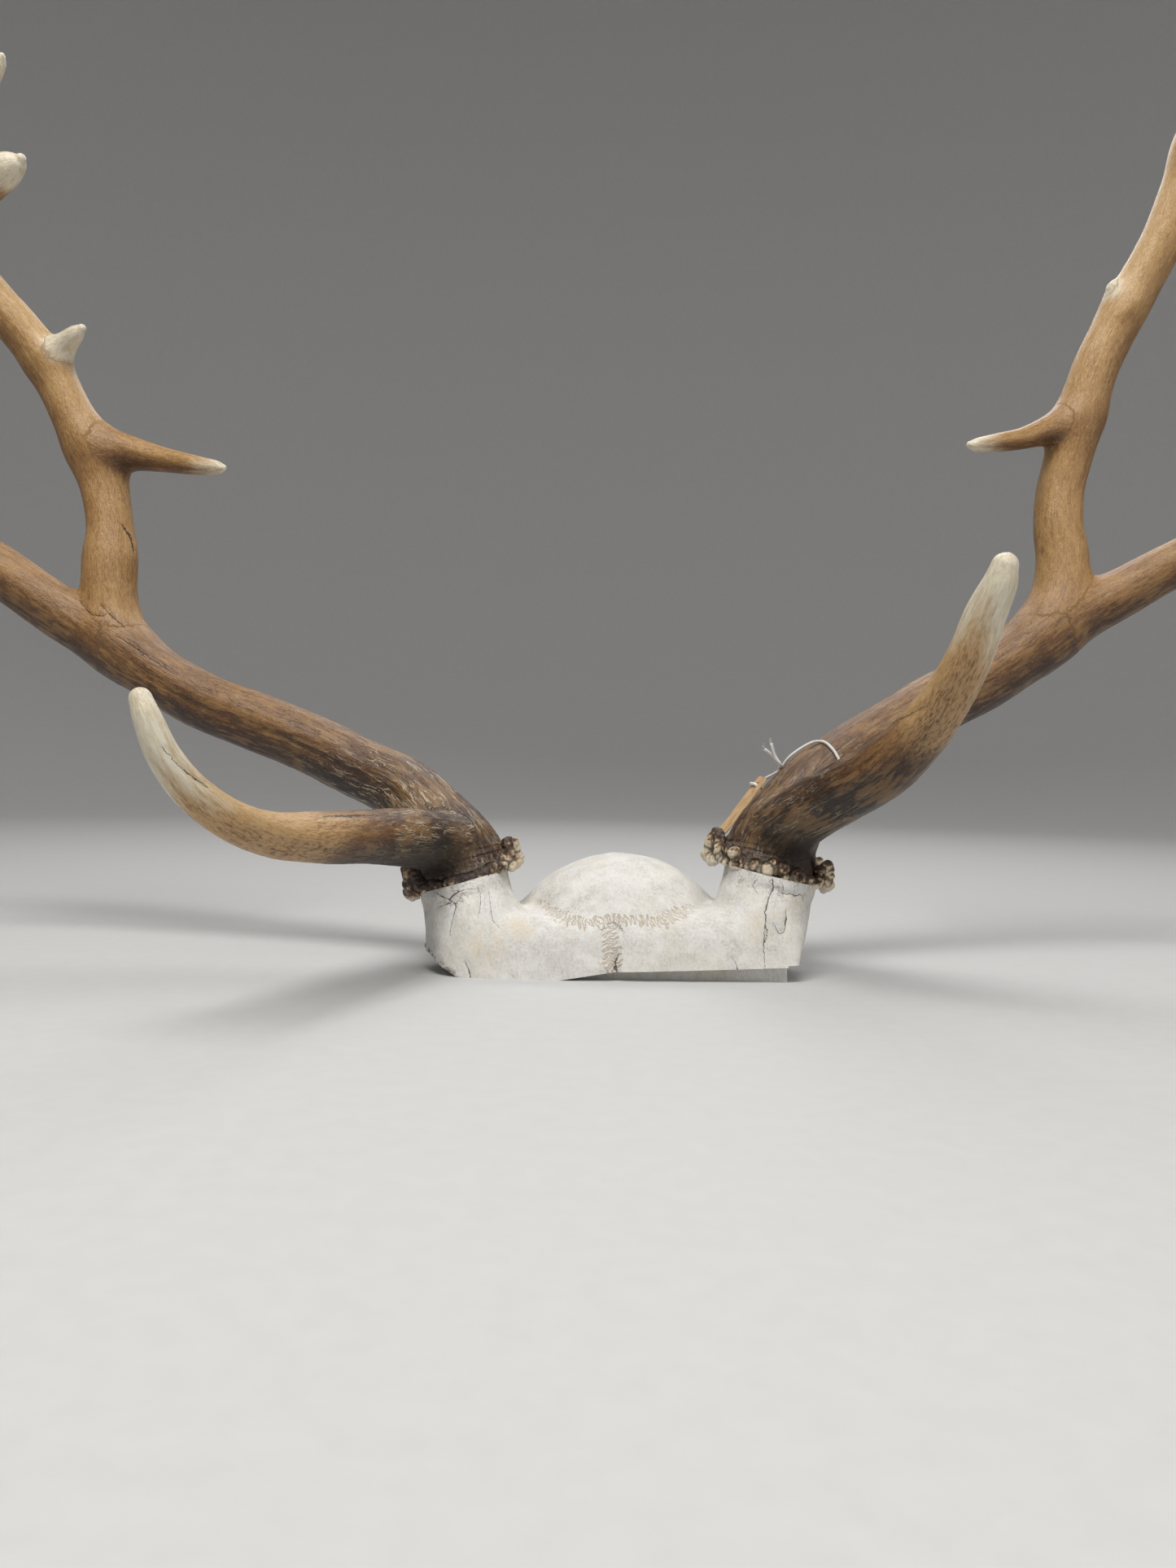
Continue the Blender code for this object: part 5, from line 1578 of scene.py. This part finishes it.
# %% Bone materials
def bone_material():
    material, t, shader = new_material("bleached_bone")
    place = t.place()
    stalk, chipped = t.attributes("stalk chipped")
    mottle = t.noise(place, 9.0, 5.0, 0.65)
    grit = t.noise(place, 1.2, 3.0, 0.6)
    fibre = t.noise(place, (1.1, 1.1, 9.0), 4.0, 0.65)
    cloud = t.noise(place, 26.0, 3.0)

    colour = t.ramp(t.total((mottle, 0.55), (grit, 0.45)), (0.36, (0.52, 0.50, 0.46)),
                    (0.46, (0.63, 0.615, 0.58)), (0.60, (0.72, 0.71, 0.685)))
    colour = t.coat(colour, t.product(t.step(cloud, 0.48, 0.66), 0.34), (0.66, 0.615, 0.52))
    colour = t.coat(colour, t.product(t.step(cloud, 0.46, 0.34), 0.30), (0.60, 0.60, 0.57))
    stained = t.product(t.attribute("stained"), t.step(mottle, 0.40, 0.60), 0.52)
    colour = t.coat(colour, stained, (0.60, 0.50, 0.34))
    lines = t.product(t.total((stalk, 0.60), 0.35), t.step(fibre, 0.47, 0.34), 0.60)
    colour = t.coat(colour, lines, (0.40, 0.34, 0.25))
    wrinkles = t.product(thin_lines(t, place, (2.6, 2.6, 8.0), 0.030), t.step(mottle, 0.56, 0.44),
                         t.total((stalk, 0.7), 0.3))
    colour = t.coat(colour, t.product(wrinkles, 0.26), (0.36, 0.33, 0.28))
    seam = seam_mask(t)
    colour = t.coat(colour, t.product(seam, 0.66), (0.43, 0.315, 0.185))
    spongy = t.product(chipped, t.step(t.noise(place, 2.4, 3.0), 0.54, 0.42))
    colour = t.coat(colour, t.product(spongy, 0.85), (0.20, 0.14, 0.085))
    bend = t.node("TexNoise", {"Vector": t.stretched(place, 2.2), "Scale": 1.0}, 1)
    bend = t.node("VectorMath", {0: bend, 1: [2.0 * MM] * 3}, operation="MULTIPLY")
    bent = t.node("VectorMath", {0: place, 1: bend}, operation="ADD")
    cells = t.node("TexVoronoi", {"Vector": t.stretched(bent, (3.6, 3.6, 3.0)), "Scale": 1.0},
                   feature="DISTANCE_TO_EDGE")
    net = t.product(t.step(cells, 0.040, 0.012), t.step(t.noise(place, 4.0, 2.0), 0.46, 0.58))
    hair = t.product(net, t.attribute("crazed"))
    colour = t.coat(colour, t.product(hair, 0.75), (0.14, 0.10, 0.07))
    slit = crack_mask(t, place)
    colour = t.coat(colour, t.product(slit, 0.85), (0.060, 0.040, 0.026))

    roughness = t.total((mottle, 0.14), (grit, 0.12), 0.50)
    height = t.total((grit, 0.6), (mottle, 0.5), (t.product(stalk, fibre), 1.0), (fibre, 0.45),
                     (wrinkles, -0.5), (seam, -0.9), (slit, -2.0), (hair, -1.0), (spongy, -1.0))
    finish_material(t, shader, colour, roughness, height, 0.45, 0.7)
    return material


def sawn_material():
    material, t, shader = new_material("sawn_bone")
    place = t.place()
    strokes = t.noise(place, (0.7, 9.0, 9.0), 2.0, 0.6)
    layers = t.noise(place, (14.0, 14.0, 0.8), 3.0, 0.6)
    pores = t.noise(place, 0.9, 3.0, 0.6)
    cloud = t.noise(place, 16.0, 2.0)
    marks = t.total((strokes, 0.35), (layers, 0.65))
    colour = t.ramp(t.total((marks, 0.6), (pores, 0.2), (cloud, 0.2)),
                    (0.40, (0.085, 0.068, 0.048)), (0.50, (0.31, 0.28, 0.225)),
                    (0.62, (0.52, 0.485, 0.41)))
    roughness = t.total((pores, 0.2), 0.6)
    height = t.total(marks, (pores, 0.6))
    finish_material(t, shader, colour, roughness, height, 0.4, 0.9)
    return material


put_on(skull_cap, bone_material(), sawn_material())
print("bone materials", [slot.name for slot in skull_cap.data.materials])

# %% [markdown]
# ## Card and cotton
# Card is made of pressed fibres and darkens at its edges, though this material gives it only
# fibres and soft stains; cotton is soft, so its highlights are spread by a little sheen.

# %% Card and cotton materials
def card_material():
    material, t, shader = new_material("card")
    place = t.place()
    fibre = t.noise(place, (0.35, 0.35, 2.2), 3.0, 0.6)
    stain = t.noise(place, 7.0, 3.0)
    colour = t.ramp(t.total((fibre, 0.4), (stain, 0.6)), (0.34, (0.36, 0.22, 0.10)),
                    (0.50, (0.54, 0.35, 0.175)), (0.66, (0.64, 0.44, 0.24)))
    roughness = t.total((fibre, 0.2), 0.68)
    finish_material(t, shader, colour, roughness, fibre, 0.08, 0.6)
    return material


def cotton_material():
    material, t, shader = new_material("cotton")
    place = t.place()
    fuzz = t.noise(place, (0.16, 0.16, 0.5), 3.0, 0.6)
    dust = t.noise(place, 5.0, 2.0)
    colour = t.ramp(t.total((fuzz, 0.5), (dust, 0.5)), (0.32, (0.58, 0.56, 0.52)),
                    (0.60, (0.86, 0.855, 0.83)))
    roughness = t.total((fuzz, 0.1), 0.82)
    finish_material(t, shader, colour, roughness, fuzz, 0.10, 0.7)
    shader.inputs["Sheen Weight"].default_value = 0.3
    return material


put_on(card, card_material())
put_on(string, cotton_material())
print("card and cotton ready")

# %% [markdown]
# ## Which solids each piece stands for
# The measured model cuts each antler at its forks. The real one is a single piece, so one new
# mesh stands for all seven of its solids.

# %% Tie the pieces to the measured model
BRANCH_NODES = ("beam", "brow_tine", "outer_tine", "upper_beam", "inner_tine",
                "crown_flat_tine", "crown_middle_tine")
for piece, replaced, slot in (
        (left_antler, ["left_" + node for node in BRANCH_NODES], "brown_antler"),
        (right_antler, ["right_" + node for node in BRANCH_NODES], "brown_antler"),
        (skull_cap, ["skull_cap"], "bone"),
        (card, ["tag"], "card"),
        (string, ["tag_string"], "cotton")):
    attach(piece, "root")
    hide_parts(*replaced)

# %% [markdown]
# ## Floor
# A flat floor would end in a hard horizon. A wide pale bowl, flat where the antlers stand and
# rising smoothly far from them, has none from any side. It is turned like a pot, in rings.

# %% Floor
FLOOR_FLAT = 1.5
FLOOR_CURVE = 1.2
FLOOR_SEGMENTS = 96
WALL_TOP = 2.6
rings = [(radius, 0.0) for radius in (0.0001, 0.2, 0.6, 1.0, FLOOR_FLAT)]
rings += [(FLOOR_FLAT + FLOOR_CURVE * math.sin(turn), FLOOR_CURVE * (1 - math.cos(turn)))
          for turn in np.radians(np.arange(6, 91, 6))]
rings.append((FLOOR_FLAT + FLOOR_CURVE, WALL_TOP))
floor_bm = bmesh.new()
circles = []
for radius, height in rings:
    circles.append([floor_bm.verts.new((radius * math.cos(turn), radius * math.sin(turn), height))
                    for turn in np.linspace(0, 2 * np.pi, FLOOR_SEGMENTS, endpoint=False)])
for inner, outer in zip(circles, circles[1:]):
    for index in range(FLOOR_SEGMENTS):
        after = (index + 1) % FLOOR_SEGMENTS
        floor_bm.faces.new((inner[index], outer[index], outer[after], inner[after]))
floor_bm.faces.new(circles[0])
floor_mesh = bpy.data.meshes.new("studio_floor")
floor_bm.to_mesh(floor_mesh)
floor_bm.free()
floor_mesh.shade_smooth()
floor = add_object("studio_floor", floor_mesh)
floor_finish, t, shader = new_material("studio_floor")
paper = t.noise(t.place(), 8.0, 3.0)
finish_material(t, shader, t.ramp(paper, (0.3, (0.53, 0.53, 0.53)), (0.7, (0.55, 0.55, 0.545))),
                t.total((paper, 0.1), 0.75), paper, 0.05, 0.1)
put_on(floor, floor_finish)
print("floor", len(floor_mesh.polygons), "faces")

# %% [markdown]
# ## Light and camera
# One large soft light hangs overhead and in front, as in a studio, and weaker ones fill from
# the side and the back. A weak world light keeps the dark bark readable. The camera stands
# where the cracks were drawn from, so the drawing falls in its place.

# %% Lights and camera
CAMERA_TILT = math.radians(89)
CAMERA_ROLL = math.radians(-1)
CAMERA_LENS = 27.05


def area_light(name, place, aim, width, depth, power, colour):
    """A soft rectangular light that faces a point."""
    light = bpy.data.lights.new(name, "AREA")
    light.shape = "RECTANGLE"
    light.size = width
    light.size_y = depth
    light.energy = power
    light.color = colour
    holder = add_object(name, light)
    holder.location = place
    holder.rotation_euler = (Vector(aim) - Vector(place)).to_track_quat("-Z", "Y").to_euler()


area_light("overhead", (-0.15, -0.60, 1.30), (0, 0, 0.08), 0.9, 0.6, 19, (1.0, 0.98, 0.95))
area_light("side_fill", (1.15, -0.9, 0.7), (0, 0, 0.12), 0.9, 0.9, 4, (0.98, 0.98, 1.0))
area_light("back", (0.2, 0.95, 1.1), (0, 0, 0.1), 1.0, 0.5, 6, (1.0, 1.0, 1.0))
world = bpy.data.worlds.new("studio")
world.use_nodes = True
sky = world.node_tree.nodes["Background"].inputs
sky["Color"].default_value = (1.0, 0.99, 0.97, 1.0)
sky["Strength"].default_value = 0.26
bpy.context.scene.world = world

camera = add_object("camera", bpy.data.cameras.new("camera"))
camera.data.lens = CAMERA_LENS
camera.data.sensor_width = 36
camera.matrix_world = (STAND @ Matrix.Translation(EYE * MM)
                       @ Matrix.Rotation(CAMERA_TILT, 4, "X")
                       @ Matrix.Rotation(CAMERA_ROLL, 4, "Z"))
bpy.context.scene.camera = camera
bpy.context.scene.view_settings.view_transform = "Standard"
print("lights", len(bpy.data.lights), "lens", CAMERA_LENS)
